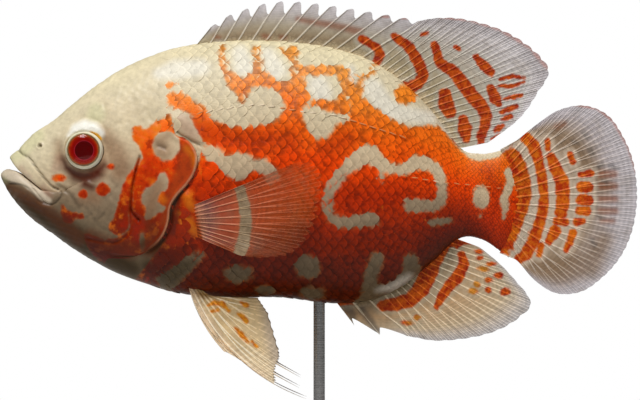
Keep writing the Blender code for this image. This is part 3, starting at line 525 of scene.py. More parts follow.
# Marks of the paired fins, in pixels
PECTORAL_BAND = (((236, 179, 4.5), (241, 190, 5), (245, 204, 5.2), (247, 222, 5.5), (244, 243, 6),
                  (239, 256, 6)),)
PELVIC_STREAKS = (
    ((208, 305, 1), (214, 302, 2), (222, 303, 2.2), (229, 310, 1.6)), ((212, 311, 1), (218, 310, 1.8)),
    ((238, 313.5, 1.4), (243, 316, 2.6), (247, 321, 1.6)), ((241, 302, 1.4), (247, 305, 2)),
    ((235, 327, 1), (241, 333, 2.2), (248, 341, 1.6)), ((252, 340, 1), (257, 346, 1.2)),
)


def paired_marks(points, strokes):
    """How far inside the strokes, mm, the same on both fins of a pair."""
    return union(*pixels(*along_fish(points)), strokes) * PIXEL


# Folds of the skin, in pixels: each line with its depth and half width in mm. A height is a ridge.
CREASES = (
    (((19, 150), (23, 154.5), (29, 157.5), (33, 162), (38, 169), (44, 177), (50, 184), (54, 187.5),
      (59, 190)), -0.9, 0.55),
    (((62, 192), (62.5, 196), (59, 201), (55, 203.5), (50, 204), (45, 202)), -0.6, 0.6),
    (((45, 202), (39, 195), (34, 188), (30, 181)), -0.5, 0.5),
    (((10, 184), (18, 184), (26, 186), (33, 192), (38, 199), (44, 203), (52, 205)), -0.55, 0.8),
    (((58, 186), (66, 190), (74, 198), (80, 208)), -0.6, 1.0),
    (((141, 157), (137, 171), (133, 192), (132, 208), (134, 214), (140, 220)), -1.3, 0.7),
    (((131, 212), (131, 230), (119, 241), (105, 241), (88, 238)), -0.5, 0.7),
    (((144, 170), (140, 192), (138, 206), (142, 214)), 0.45, 1.8),
    (((128, 186), (125, 206), (124, 226)), 0.5, 3.2),
    (((160, 240), (150, 250), (130, 256), (112, 254)), -0.3, 0.8),
    (((105, 198), (109, 206), (106, 214), (100, 219)), -0.35, 0.7),
    (((92, 204), (96, 212), (88, 218)), -0.3, 0.8),
    (((106, 168), (112, 171), (120, 168)), -0.3, 0.7),
    (((100, 176), (110, 180), (118, 188)), -0.25, 0.9),
    (((175, 128.6), (182, 136), (190, 140.5), (203, 146)), -0.8, 0.8),
    (((160, 146), (166, 148)), -0.8, 1.3),
    (((174, 119), (184, 122), (192, 130), (200, 139)), 0.9, 2.4),
    (((215, 168), (218, 180), (220, 190)), -0.6, 0.6),
    (((188, 198), (188, 206)), 1.2, 2.6),
    (((183, 208), (190, 213), (198, 220)), 0.5, 1.2),
    (((182, 214), (188, 220), (195, 227)), 0.5, 1.2),
    (((181, 221), (187, 228), (192, 234)), 0.4, 1.2),
    (((112, 129), (118, 124.5), (129, 123)), -0.22, 0.7),
    (((104, 103), (107, 113), (103, 124)), -0.2, 0.8),
    (((147, 110), (150, 118), (158, 124)), -0.22, 0.8),
    (((104, 152), (110, 160), (112, 168)), -0.3, 0.9),
    (((118, 174), (121, 182), (116, 190)), -0.25, 0.7),
    (((112, 196), (118, 204), (114, 214)), -0.25, 0.7),
    (((96, 196), (99, 206), (95, 216)), 0.3, 1.0),
    (((88, 182), (96, 186), (102, 184)), 0.25, 1.0),
    (((84, 206), (90, 212), (100, 226), (112, 232)), -0.3, 0.8),
    (((122, 150), (128, 158), (130, 168)), -0.2, 0.9),
    (((30, 166), (38, 175), (46, 186), (54, 198)), 0.35, 1.4),
    (((8, 178), (18, 181), (28, 187), (36, 197), (44, 207)), 0.4, 1.3),
    (((146, 164), (150, 176), (148, 190)), 0.35, 2.2),
    (((160, 150), (172, 164), (176, 178)), 0.3, 2.6),
)
EYE_SOCKET = 17.2  # how far out the skin stands round the eye, at most
LID = (37.2, 23.2, 9.9, 11.2)  # the pale bulge round the eye: its middle and how far it reaches


def groove(x, y, points, width):
    """A soft-edged line: 1 along its middle, and width in mm is where it has faded to a third."""
    line = [(*point, 0.0) for point in catmull(points, np.linspace(0, len(points) - 1, len(points) * 3))]
    away = -in_stroke(x, y, line) * PIXEL
    return np.exp(-((away / width) ** 2))


def head_relief(points):
    """How far the head's folds lift the skin, mm."""
    s, h = along_fish(points)
    x, y = pixels(s, h)
    lift = np.zeros(np.shape(s))
    near = s < 100
    for line, height, width in CREASES:
        lift[near] += height * groove(x[near], y[near], line, width)
    behind = behind_gill(points)
    beside = ease(36, 25, h) * ease(-27, -17, h)
    cover = ease(0.5, -0.4, behind) * GILL_PROUD
    rim = 0.35 * np.exp(-(((behind + 1.2) / 0.7) ** 2))
    fade = np.where(behind < 0, ease(-26.0, -4.0, behind), 1.0)
    lift += beside * fade * (cover + rim - 0.6)
    lift -= beside * 0.45 * np.exp(-(((behind - 0.7) / 0.9) ** 2)) * (behind > -0.2)
    away = np.hypot(s - EYE[0], h - EYE[1])
    lid = 1 - np.hypot((s - LID[0]) / LID[2], (h - LID[1]) / LID[3])
    lift += 1.9 * ease(-0.2, 0.3, lid) - 0.25 * np.exp(-(((lid + 0.16) / 0.1) ** 2))
    lift -= np.maximum(np.abs(points[..., 1]) / MM + lift - EYE_SOCKET, 0.0) * ease(13.0, 9.0, away)
    lift -= 6.0 * ease(8.35, 7.2, away)
    nostril = np.hypot(s - NOSTRIL[0], h - NOSTRIL[1])
    lift += 0.45 * np.exp(-(((nostril - 1.35) / 0.5) ** 2)) - 1.8 * np.exp(-((nostril / 0.8) ** 2))
    return lift


def fold_shade(points):
    """How much of a crease's shade there is, 0 to 1."""
    s, h = along_fish(points)
    x, y = pixels(s, h)
    shade = np.zeros(np.shape(s))
    near = s < 100
    for line, height, width in CREASES:
        if height < 0:
            dark = ease(0.2, 1.0, -height)
            shade[near] = np.maximum(shade[near], dark * groove(x[near], y[near], line, width * 0.7))
    nostril = np.hypot(s - NOSTRIL[0], h - NOSTRIL[1])
    return np.maximum(shade, np.exp(-((nostril / 0.9) ** 4)))


def gill_shades(points):
    """Painted shade in the gap behind the gill cover, wider further down, and the cover's light rim."""
    _, h = along_fish(points)
    behind = behind_gill(points)
    wide = 0.5 + 1.1 * ease(12, -6, h)
    gill_slit_shade = ease(-0.2, 0.2, behind) * ease(2 * wide, 0.6 * wide, behind)
    gill_slit_shade *= ease(28, 10, h) * ease(-25, -16, h)
    lip = np.exp(-(((behind + 0.6) / 0.45) ** 2)) * ease(28, 20, h) * ease(-24, -14, h)
    return gill_slit_shade, lip


def head_wrinkle(points):
    """Fine uneven ground of the cheek and nape, mm."""
    s = points[..., 0] / MM
    h = points[..., 2] / MM
    wave = np.sin(s * 0.9 + 2 * np.sin(h * 0.35)) * np.sin(h * 0.8 + 1.7 * np.sin(s * 0.31))
    wave += 0.6 * np.sin(s * 1.7 + h * 1.1) * np.sin(h * 1.9 - s * 0.7)
    return 0.1 * wave


def linked(name, mesh):
    made = bpy.data.objects.new(name, mesh)
    bpy.context.scene.collection.objects.link(made)
    return made


def from_bmesh(name, bm):
    mesh = bpy.data.meshes.new(name)
    bm.to_mesh(mesh)
    bm.free()
    return mesh


def get_coordinates(mesh):
    flat = np.empty(len(mesh.vertices) * 3)
    mesh.vertices.foreach_get("co", flat)
    return flat.reshape(-1, 3)


def set_coordinates(mesh, points):
    mesh.vertices.foreach_set("co", np.ascontiguousarray(points, dtype=np.float32).ravel())
    mesh.update()


def add_attribute(mesh, name, values):
    layer = mesh.attributes.new(name, "FLOAT", "POINT")
    layer.data.foreach_set("value", np.asarray(values, np.float32).ravel())


def outward(mesh):
    """Turns a closed mesh's faces out if they point in."""
    bm = bmesh.new()
    bm.from_mesh(mesh)
    bmesh.ops.recalc_face_normals(bm, faces=bm.faces[:])
    if bm.calc_volume(signed=True) < 0:
        bmesh.ops.reverse_faces(bm, faces=bm.faces[:])
    bm.to_mesh(mesh)
    bm.free()


def smooth(mesh, angle=50):
    mesh.shade_smooth()
    mesh.set_sharp_from_angle(angle=math.radians(angle))


surface = Surface()


SKIN_RINGS = 322
SKIN_ROUND = 296


class Rings:
    """The skin's rings: close on the head, wider under the scales, and bent so that one of them runs
    along the gill cover's edge."""

    EDGE_S = 78.0  # where that ring would be unbent
    REACH = (4.6, 14.2)  # the stations between which the rings are bent

    def __init__(self, count):
        fine = np.linspace(0.0, LAST_STATION - 0.02, 4001)
        row = catmull(STATIONS, fine)
        step = np.linalg.norm(np.diff(row[:, 2:5:2], axis=0), axis=1)
        step += 0.5 * np.linalg.norm(np.diff(row[:, 0:2], axis=0), axis=1)
        s = row[1:, 2]
        closer = np.interp(s, (76.0, 92.0, 210.0), (2.6, 0.7, 0.7))
        closer += 7 * np.exp(-(((s - self.EDGE_S) / 1.4) ** 2))
        closer[fine[1:] < LIPS] = 1.2
        run = np.concatenate([[0.0], np.cumsum(step * closer)])
        self.base = np.interp(np.linspace(0, run[-1], count), run, fine)
        self.edge = float(surface.station(self.EDGE_S))
        self.find_edge()

    def find_edge(self):
        """How far the ring at the gill cover's edge is bent at each share round."""
        line = gill_line(400)
        table = surface.points
        near = (surface.x > 6.0) & (surface.x < 13.0)
        rows = table[near][..., [0, 2]].reshape(-1, 2)
        stations = np.repeat(surface.x[near], surface.ROUND)
        shares = np.tile(np.linspace(0, 1, surface.ROUND), near.sum())
        away = np.hypot(rows[:, None, 0] - line[None, :, 0], rows[:, None, 1] - line[None, :, 1])
        best = away.argmin(axis=0)
        found = away.min(axis=0) < 0.8
        r, x = shares[best][found], stations[best][found]
        order = np.argsort(r)
        self.shares = np.linspace(0, 1, 181)
        self.bend = np.interp(self.shares, r[order], x[order]) - self.edge
        kernel = np.hanning(9) / np.hanning(9).sum()
        self.bend = np.convolve(np.pad(self.bend, 4, "edge"), kernel, "valid")

    def bent(self, base, r):
        """The station of the ring base at shares round r."""
        low, high = self.REACH
        rising = (base - low) / (self.edge - low)
        falling = (high - base) / (high - self.edge)
        fade = np.where(base < self.edge, rising, falling)
        return base + np.interp(r, self.shares, self.bend) * np.clip(fade, 0.0, 1.0)

    def share_along(self, x, r):
        """How far along the skin's unwrap the places at stations x and shares round r are."""
        found = np.empty(len(x))
        for k, (one, share) in enumerate(zip(x, r)):
            found[k] = np.interp(one, self.bent(self.base, share), np.linspace(0, 1, len(self.base)))
        return found


rings = Rings(SKIN_RINGS)


def add_tints(mesh, co, tints):
    """Soft tints by the photograph's places, each 1 inside its strokes and 0 beyond a soft border."""
    x, y = pixels(*along_fish(co))
    for name, (blur, strokes) in tints.items():
        add_attribute(mesh, name, ease(-blur, blur * 0.5, union(x, y, strokes)))


def shading(s, r):
    """The share from back to belly that the colours go by: the tail's stalk is less shaded."""
    flat = np.where(r < 0.45, ease(150.0, 200.0, s), ease(198.0, 218.0, s))
    return 0.45 + (r - 0.45) * (1 - 0.55 * flat)


def make_skin():
    """One closed surface from inside the lips to the tail's root, closer meshed on the head."""
    bm = bmesh.new()
    uv = bm.loops.layers.uv.new("OFBake")
    share_layer = bm.verts.layers.float.new("round")
    bmesh.ops.create_grid(bm, x_segments=SKIN_RINGS + 1, y_segments=SKIN_ROUND, size=0.5, calc_uvs=True)
    for face in bm.faces:
        for loop in face.loops:
            loop[uv].uv = (loop.vert.co.x + 0.5, loop.vert.co.y + 0.5)
    grid = np.array([vert.co[:2] for vert in bm.verts])
    ring = np.rint((grid[:, 0] + 0.5) * (SKIN_RINGS + 1)).astype(int)
    spoke = np.rint((grid[:, 1] + 0.5) * SKIN_ROUND).astype(int)
    share = spoke / (SKIN_ROUND / 2)
    side = np.where(share <= 1, -1.0, 1.0)
    r = np.where(share <= 1, share, 2 - share)
    x = rings.bent(rings.base[np.clip(ring - 1, 0, SKIN_RINGS - 1)], r)
    points, normals = surface.at(x, r, side)
    for end in (0, SKIN_RINGS + 1):
        here = ring == end
        points[here] = points[here].mean(axis=0)
    outside = ease(LIPS + 0.35, LIPS + 0.9, x)
    flat = place(*np.moveaxis(points, -1, 0))
    lift = head_relief(flat) * outside + head_wrinkle(flat) * outside * ease(2.0, -8.0, behind_gill(flat))
    lift[(ring == 0) | (ring == SKIN_RINGS + 1)] = 0
    final = place(*np.moveaxis(points + normals * lift[:, None], -1, 0))
    for vert, co, one in zip(bm.verts, final, shading(points[:, 0], r)):
        vert.co = co
        vert[share_layer] = one
    bmesh.ops.remove_doubles(bm, verts=bm.verts[:], dist=0.002 * MM)
    mesh = from_bmesh("skin", bm)
    outward(mesh)
    co = get_coordinates(mesh)
    add_attribute(mesh, "orange", orange_on_body(co))
    add_tints(mesh, co, {**FACE_TINTS, **BODY_TINTS})
    # painted shade in the creases and the nostril
    add_attribute(mesh, "painted_fold_shade", fold_shade(co))
    for name, values in zip(("gill_slit_shade", "lip"), gill_shades(co)):
        add_attribute(mesh, name, values)
    smooth(mesh, 70)
    return linked("skin", mesh)


SCALE_ROWS = 46  # from the back to the belly, every other one half a scale further back
SCALE_STEP = 0.87  # from one column to the next, in row heights
SCALE_LENGTH = 2.8  # of a scale without its point, in row heights
SCALE_ALONG = 6  # cells in a scale
SCALE_ACROSS = 6
SCALE_SEEDS = {"left": 7, "right": 8}


def scale_places():
    """Place along, share round, size, column and row of each scale of a flank. The staggered rows
    shrink towards the tail."""
    places = []
    s, column = 62.0, 0
    while s < 225.0:
        high = float(np.interp(surface.station(s), surface.x, surface.half_round)) / SCALE_ROWS
        for row in range(SCALE_ROWS):
            if (row + column) % 2 == 0:
                places.append((s, (row + 0.5) / SCALE_ROWS, high, column, row))
        s += max(high, 0.8) * SCALE_STEP
        column += 1
    return np.array(places)


def closed_plate(columns, rows, height, other_height):
    """A flat closed plate of the given cells, one unit long and wide, its sides at the given heights."""
    bm = bmesh.new()
    bmesh.ops.create_grid(bm, x_segments=columns, y_segments=rows, size=0.5)
    for vert in bm.verts:
        vert.co.z = height
    drawn = bmesh.ops.extrude_face_region(bm, geom=bm.faces[:], use_keep_orig=True)
    for item in drawn["geom"]:
        if isinstance(item, bmesh.types.BMVert):
            item.co.z = other_height
    bmesh.ops.recalc_face_normals(bm, faces=bm.faces[:])
    return from_bmesh("plate", bm)


def repeated(template, count):
    """A mesh with the template's copies one after the other, in order."""
    holder = linked("holder", template)
    rows = holder.modifiers.new("Array", "ARRAY")
    rows.count = count
    rows.use_relative_offset = False
    rows.use_constant_offset = True
    rows.constant_offset_displace = (2.0, 0.0, 0.0)
    bpy.context.view_layer.update()
    graph = bpy.context.evaluated_depsgraph_get()
    mesh = bpy.data.meshes.new_from_object(holder.evaluated_get(graph))
    bpy.data.objects.remove(holder)
    return mesh


LATERAL_UPPER = ((200, 114), (230, 109), (260, 106), (300, 112), (330, 115), (345, 119), (370, 127),
                 (402, 137))
LATERAL_LOWER = ((404, 176), (440, 182), (480, 186), (530, 192))
PATCH = 0.003  # size of a scale's patch on the skin's unwrap


def own_patches(mesh, places, side, a, b):
    """Gives each scale a small patch at its root's place on the skin's unwrap."""
    count = len(places)
    size = len(mesh.vertices) // count
    u = rings.share_along(surface.station(places[:, 0]), places[:, 1])
    v = places[:, 1] / 2 if side < 0 else 1 - places[:, 1] / 2
    u = np.repeat(u, size) + a * PATCH
    v = np.repeat(v, size) + b * PATCH
    loops = np.empty(len(mesh.loops), dtype=np.int64)
    mesh.loops.foreach_get("vertex_index", loops)
    layer = mesh.uv_layers.new(name="OFBake")
    layer.data.foreach_set("uv", np.stack([u[loops], v[loops]], -1).astype(np.float32).ravel())


def make_scales(name, places, side, seed):
    """Overlapping plates on one flank. Each is rooted under the skin and its free edge stands off it."""
    chance = np.random.default_rng(seed)
    count = len(places)
    template = closed_plate(SCALE_ALONG, SCALE_ACROSS, 0.5, -0.5)
    shape = get_coordinates(template)
    size = len(shape)
    mesh = repeated(template, count)
    a = np.tile(shape[:, 0], count)
    b = np.tile(shape[:, 1], count)
    top = np.tile(shape[:, 2], count) > 0
    which = np.repeat(np.arange(count), size)
    high = places[which, 2]
    unit = high / 2.5

    def vary(spread):
        return chance.normal(0.0, spread, count)[which]

    a = np.where(a < 0, a * (1 + np.abs(a + 0.25)), a)
    grow = 1 + vary(0.05)
    q = b * 2 * 1.06
    point = SCALE_STEP * (1 - np.abs(q / 1.06) ** 1.8)
    p = a * SCALE_LENGTH + point * ease(-0.3, 0.5, a)
    covered = SCALE_LENGTH / 2 - SCALE_STEP * np.abs(np.abs(q) - 1) ** 1.8
    bare = p - covered
    rim = SCALE_LENGTH / 2 + point - p
    along = p * high * grow + vary(0.04) * high
    across = q * high * grow + vary(0.04) * high
    turn = vary(0.05)
    along, across = along + across * turn, across - along * turn
    s = places[which, 0] + along
    x = surface.station(s)
    r = places[which, 1] + across / np.interp(x, surface.x, surface.half_round)
    points, normals = surface.at(x, r, side)
    body = place(*np.moveaxis(points, -1, 0))
    raised = np.clip(1 + vary(0.12), 0.7, 1.3)
    rise = -0.42 + 0.64 * ease(-0.5, 0.44, a) * raised - 0.06 * np.abs(q) ** 3
    crown = 0.07 * (1 - np.abs(q)) * ease(0.0, 0.3, a) - 0.05 * ease(0.42, 0.5, a)
    starts = np.where(places[which, 1] < 0.3, ease(66.0, 86.0, places[which, 0]), 1.0)
    lift = (rise + crown) * unit * (0.4 + 0.6 * starts) + head_relief(body)
    lift -= np.where(top, 0.0, 0.1 * unit + 0.05)
    mid_points, _ = surface.at(surface.station(places[:, 0]), places[:, 1], side)
    mid = place(*np.moveaxis(mid_points, -1, 0))
    final = place(*np.moveaxis(points + normals * lift[:, None], -1, 0))
    set_coordinates(mesh, final)
    add_attribute(mesh, "orange", 0.4 * np.repeat(orange_on_body(mid), size) + 0.6 * orange_on_body(final))
    add_attribute(mesh, "round", shading(s, np.clip(r, 0, 1)))
    add_attribute(mesh, "bare", bare + np.maximum(places[which, 3], 1 - starts))
    add_attribute(mesh, "rim", rim)
    add_attribute(mesh, "across", q)
    add_attribute(mesh, "shade", np.repeat(chance.uniform(0, 1, count), size))
    add_tints(mesh, final, BODY_TINTS)
    own_patches(mesh, places, side, a, b)
    outward(mesh)
    smooth(mesh, 60)
    return linked(name, mesh)


def scaled(places):
    """The places that carry scales: behind the head, off the face, and clear of the pectoral fin's root.
    Each says whether it leads its row, with no scale over its root."""
    points, _ = surface.at(surface.station(places[:, 0]), places[:, 1], -1.0)
    s, h = points[:, 0], points[:, 2]
    behind = behind_gill(place(*np.moveaxis(points, -1, 0)))
    nape = (h > 30) & (s > 66 + 0.12 * (h - 30))
    keep = ((behind > 1.5) & (s > 74)) | nape | ((behind > 3) & (h < -24) & (s > 62))
    keep &= in_patch(*pixels(s, h), GILL_PALE[1]) < -1
    pectoral = np.hypot((s - 84.0) / 5.0, (h + 9) / 10.0) > 1
    places = places[keep & pectoral & (s < 224.0)]
    kept = {(column, row) for column, row in places[:, 3:]}
    leads = []
    for column, row in places[:, 3:]:
        above = (column - 1, row - 1) in kept or row == 0
        below = (column - 1, row + 1) in kept or row == SCALE_ROWS - 1
        leads.append(not (above and below))
    return np.column_stack([places[:, :3], leads])


PORE_STEP = 4.3
PORE_SIZE = (3.7, 0.7, 0.4)


def make_pores(name, side):
    """The lateral line: a short raised canal on each scale along two lines."""
    bm = bmesh.new()
    bmesh.ops.create_uvsphere(bm, u_segments=10, v_segments=7, radius=0.5)
    template = from_bmesh("pore", bm)
    shape = get_coordinates(template)
    spots, ways = [], []
    for line in (LATERAL_UPPER, LATERAL_LOWER):
        run = [((px - FIRST_COLUMN) * PIXEL, (MIDDLE_ROW - py) * PIXEL) for px, py in line]
        length = np.linalg.norm(np.diff(run, axis=0), axis=1).sum()
        t = np.linspace(0, 1, int(length / PORE_STEP))
        here = even_along(run, t)
        ahead = even_along(run, np.minimum(t + 0.01, 1.0)) - even_along(run, np.maximum(t - 0.01, 0.0))
        spots.append(here)
        ways.append(np.arctan2(ahead[:, 1], ahead[:, 0]))
    spots, ways = np.concatenate(spots), np.concatenate(ways)
    count, size = len(spots), len(shape)
    mesh = repeated(template, count)
    x, r = surface.find(spots[:, 0], spots[:, 1])
    half = np.interp(x, surface.x, surface.half_round)
    which = np.repeat(np.arange(count), size)
    local = np.tile(shape, (count, 1)) * PORE_SIZE
    shrink = np.interp(spots[which, 0], (150, 220), (1.0, 0.6))
    turn = ways[which] + 0.22
    along = (local[:, 0] * np.cos(turn) - local[:, 1] * np.sin(turn)) * shrink
    across = (local[:, 0] * np.sin(turn) + local[:, 1] * np.cos(turn)) * shrink
    px = surface.station(spots[which, 0] + along)
    pr = r[which] - across / half[which]
    points, normals = surface.at(px, pr, side)
    lift = 0.3 * shrink + local[:, 2] * shrink + 0.12 * local[:, 0] * shrink
    final = place(*np.moveaxis(points + normals * lift[:, None], -1, 0))
    set_coordinates(mesh, final)
    add_attribute(mesh, "orange", orange_on_body(final))
    outward(mesh)
    mesh.shade_smooth()
    return linked(name, mesh)


# Fins
class Fin:
    """A fan of rays as arrays: roots, ways to the tips and sideways bows, all in (s, h)."""

    def __init__(self, roots, tips, thick, thin, bows=None):
        self.roots = np.array(roots, float)
        self.ways = np.array(tips, float) - self.roots
        self.thick = np.array(thick, float)
        self.thin = np.array(thin, float)
        self.bows = np.zeros(len(self.roots)) if bows is None else np.array(bows, float)

    def ray_at(self, k, t):
        root, way = self.roots[k], self.ways[k]
        aside = np.stack([-way[..., 1], way[..., 0]], -1)
        return root + way * t[..., None] + aside * (self.bows[k] * 4 * t * (1 - t))[..., None]

    def at(self, u, t):
        """The point a fraction u of the way through the rays and t of the way out."""
        if not self.bows.any():
            return catmull(self.roots, u) + catmull(self.ways, u) * t[..., None]
        k = np.clip(np.floor(u).astype(int), 0, len(self.roots) - 2)
        share = (u - k)[..., None]
        return self.ray_at(k, t) * (1 - share) + self.ray_at(k + 1, t) * share


def ray_rows(base, count, tips, first, last, thick, thin):
    """Rays spread evenly from a part of the base to the tips' whole line."""
    t = np.linspace(0, 1, count)
    roots = even_along(base, first + (last - first) * t)
    return roots, even_along(tips, t), [thick] * count, [thin] * count


def spiny_and_soft(base, spines, spine_tips, soft, margin, spine_share):
    last = spine_share * (spines - 1) / spines
    front = ray_rows(base, spines, spine_tips, 0.0, last, 0.62, 0.3)
    rear = ray_rows(base, soft, margin, spine_share, 1.0, 0.42, 0.17)
    return Fin(*(np.concatenate([a, b]) for a, b in zip(front, rear)))


def slab_mesh(columns, rows):
    """A closed plate of the given cells, with each corner's column, row and side."""
    mesh = closed_plate(columns, rows, 0.0, 1.0)
    flat = get_coordinates(mesh)
    column = np.rint((flat[:, 0] + 0.5) * columns).astype(int)
    row = np.rint((flat[:, 1] + 0.5) * rows).astype(int)
    return mesh, column, row, np.where(flat[:, 2] > 0.5, 1.0, -1.0)


MEMBRANE = 0.11  # half thickness between the rays, mm
SINK = 2.6
SHEATH_FADE = 3.2  # how far the thick foot of a fin reaches, mm


def ray_ridges(share, t, spacing, thick, thin, forks, start):
    """Half thickness that the rays add between two of them. Each ray forks in two, again and again."""
    best = np.zeros(np.shape(share))
    radius = thick + (thin - thick) * np.sqrt(t)
    for signs in itertools.product((-1, 1), repeat=forks):
        centre = sum(sign * 0.25 / 2**i * ease(start + 0.24 * i, start + 0.24 * i + 0.5, t)
                     for i, sign in enumerate(signs))
        for end in (0.0, 1.0):
            away = np.abs(share - end - centre) * spacing
            best = np.maximum(best, np.sqrt(np.maximum(radius**2 - away**2, 0.0)))
    return best


def make_fin(name, fin, spines, per_ray, rows, placed, drops=(0.0,), lowest=0.96, notch=0.012, lobes=1,
             start=0.32, forks=2, web=None, marks=None, sheath=0.0, sink=SINK):
    """The sheet of a fin: round spines with flaps between, soft rays that fork, and thin membrane. Each
    flap is cut back most at a share lowest of the way from its spine to the next."""
    rays = len(fin.roots)
    mesh, column, row, side = slab_mesh((rays - 1) * per_ray, rows)
    u = column / per_ray
    k = np.clip(np.floor(u).astype(int), 0, rays - 2)
    share = u - k
    t = np.where(row == 0, 0.0, (row - 1) / (rows - 1))
    if web is None:
        drop = np.interp(k / max(spines - 1, 1), np.linspace(0, 1, len(drops)), drops)
        if lowest > 0.5:
            flap = 1 - drop * ease(0.2, lowest, share) - 0.05 * np.clip(1 - share / 0.22, 0, 1) ** 2
        else:
            flap = 1 - drop * np.minimum(share / lowest, ease(1.2, lowest, share))
        fringe = 1 - notch * (1 - np.abs(np.sin(share * math.pi * lobes)))
        reach = np.where(k < spines - 1, flap, fringe)
    else:
        web = np.array(web, float)
        reach = web[k] + (web[k + 1] - web[k]) * share - 0.02 * np.abs(np.sin(share * math.pi * 4))
        on_ray = np.maximum(np.exp(-((share / 0.03) ** 2)), np.exp(-(((1 - share) / 0.03) ** 2)))
        reach = reach + (1 - reach) * on_ray
    out = t * reach
    flat = fin.at(u, out)
    inner = fin.at(u, np.zeros_like(out))
    ahead = fin.at(u, np.full_like(out, 0.2)) - inner
    sunk = inner - sink * ahead / np.linalg.norm(ahead, axis=-1, keepdims=True)
    flat = np.where((row == 0)[:, None], sunk, flat)
    spacing = np.linalg.norm(fin.ray_at(k + 1, out) - fin.ray_at(k, out), axis=-1)
    thick = fin.thick[k] * (1 - share) + fin.thick[k + 1] * share
    thin = fin.thin[k] * (1 - share) + fin.thin[k + 1] * share
    single = ray_ridges(share, out, spacing, thick, thin, 0, start)
    forked = ray_ridges(share, out, spacing, thick, thin, forks, start)
    ridge = np.where(k < spines - 1, single, forked)
    away = np.linalg.norm(flat - inner, axis=-1)
    half = MEMBRANE + ridge + sheath * np.exp(-((away / SHEATH_FADE) ** 1.5))
    half = np.where(row == 0, 0.8 + sheath, half)
    y = placed(u, out, flat, row == 0)
    ruffle = 0.12 * np.sin(share * 2 * math.pi) * out
    final = place(flat[:, 0], y + ruffle, flat[:, 1])
    final = final + (side * half * MM)[:, None] * np.array(placed.across)
    set_coordinates(mesh, final)
    add_attribute(mesh, "ray", np.clip(ridge / 0.3, 0, 1) * (row > 0))
    add_attribute(mesh, "out", out if web is None else np.clip(away / PELVIC_LENGTH, 0, 1))
    add_attribute(mesh, "orange", orange_on_body(final) if marks is None else paired_marks(final, marks))
    add_tints(mesh, final, FIN_TINTS)
    outward(mesh)
    smooth(mesh, 60)
    mesh.name = name
    return linked(name, mesh)


def median(columns_at, total, wave, turns):
    """How a fin on the middle line waves from side to side towards its edge."""

    def placed(u, out, flat, root):
        y = wave * out**1.5 * np.sin(turns * columns_at(u) / total * 2 * math.pi)
        return np.where(root, 0.0, y)

    placed.across = (0.0, 1.0, 0.0)
    return placed


def spiny_columns(spines):
    """Spines stand twice as far apart as soft rays."""
    return lambda u: np.where(u < spines - 1, u * 4, (spines - 1) * 4 + (u - spines + 1) * 2)


def pectoral_placed(side, rays):
    """The fin stands off the flank towards its tip, cupped a little."""
    shape = surface.at(surface.station(np.array((84.7, 89.0))), np.array((0.6, 0.7)), -1.0)
    root_y = float(np.min(-shape[0][:, 1])) - 0.9

    def placed(u, out, flat, root):
        fan = u / (rays - 1) - 0.5
        away = root_y + 0.5 + PECTORAL_SPREAD * (0.25 * np.sqrt(out) + 0.75 * out)
        y = side * (away + 1.5 * np.cos(fan * math.pi) * out)
        return np.where(root, side * (root_y - SINK), y)

    lean = math.radians(14)
    placed.across = (-math.sin(lean), side * math.cos(lean), 0.0)
    return placed


def pelvic_placed(side):
    """The fin leans away from the belly's middle towards its tip."""

    def placed(u, out, flat, root):
        away = np.hypot(flat[:, 0] - PELVIC_BASE[0][0], flat[:, 1] - PELVIC_BASE[0][1])
        return side * np.interp(away, (0.0, PELVIC_LENGTH), PELVIC_Y)

    lean = math.radians(12)
    placed.across = (0.0, math.cos(lean), side * math.sin(lean))
    return placed


def make_fins():
    dorsal = spiny_and_soft(DORSAL_BASE, DORSAL_SPINES, DORSAL_SPINE_TIPS, DORSAL_SOFT, DORSAL_MARGIN,
                            DORSAL_SPINE_SHARE)
    anal = spiny_and_soft(ANAL_BASE, ANAL_SPINES, ANAL_SPINE_TIPS, ANAL_SOFT, ANAL_MARGIN, ANAL_SPINE_SHARE)
    tail = Fin(*ray_rows(TAIL_BASE, TAIL_RAYS, TAIL_MARGIN, 0.0, 1.0, 0.5, 0.16))
    pectoral = Fin(*ray_rows(PECTORAL_BASE, PECTORAL_RAYS, PECTORAL_MARGIN, 0.0, 1.0, 0.38, 0.15))
    fins = {}
    placed = median(spiny_columns(DORSAL_SPINES), 87.0, 1.2, 1.5)
    fins["dorsal_fin"] = make_fin("dorsal_fin_sheet", dorsal, DORSAL_SPINES, 20, 44, placed,
                                  (0.32, 0.32, 0.28, 0.18, 0.06), notch=0.015, sheath=1.0)
    placed = median(spiny_columns(ANAL_SPINES), 39.0, 1.0, 1.0)
    fins["anal_fin"] = make_fin("anal_fin_sheet", anal, ANAL_SPINES, 22, 44, placed, (0.38, 0.1),
                                lowest=0.25, notch=0.012, sheath=1.0)
    placed = median(lambda u: u * 2, 31.0, 2.0, 0.5)
    fins["tail_fin"] = make_fin("tail_fin_sheet", tail, 0, 40, 60, placed, notch=0.008, lobes=3, start=0.1,
                                forks=3, sheath=1.0, sink=6.0)
    roots = even_along(PELVIC_BASE, np.linspace(0, 1, len(PELVIC_RAYS)))
    tips = [ray[:2] for ray in PELVIC_RAYS]
    bows = [ray[2] for ray in PELVIC_RAYS]
    count = len(PELVIC_RAYS)
    for side, word in SIDES:
        placed = pectoral_placed(side, PECTORAL_RAYS)
        fins["pectoral_fin_" + word] = make_fin(
            f"pectoral_fin_{word}_sheet", pectoral, 0, 24, 48, placed, notch=0.05, lobes=2, start=0.2,
            marks=PECTORAL_BAND, sheath=0.7,
        )
        pelvic = Fin(roots, tips, [1.3] + [0.6] * (count - 1), [0.5] + [0.14] * (count - 1), bows)
        fins["pelvic_fin_" + word] = make_fin(
            f"pelvic_fin_{word}_sheet", pelvic, 1, 26, 48, pelvic_placed(side), start=0.1, web=PELVIC_WEB,
            marks=PELVIC_STREAKS,
        )
    return fins


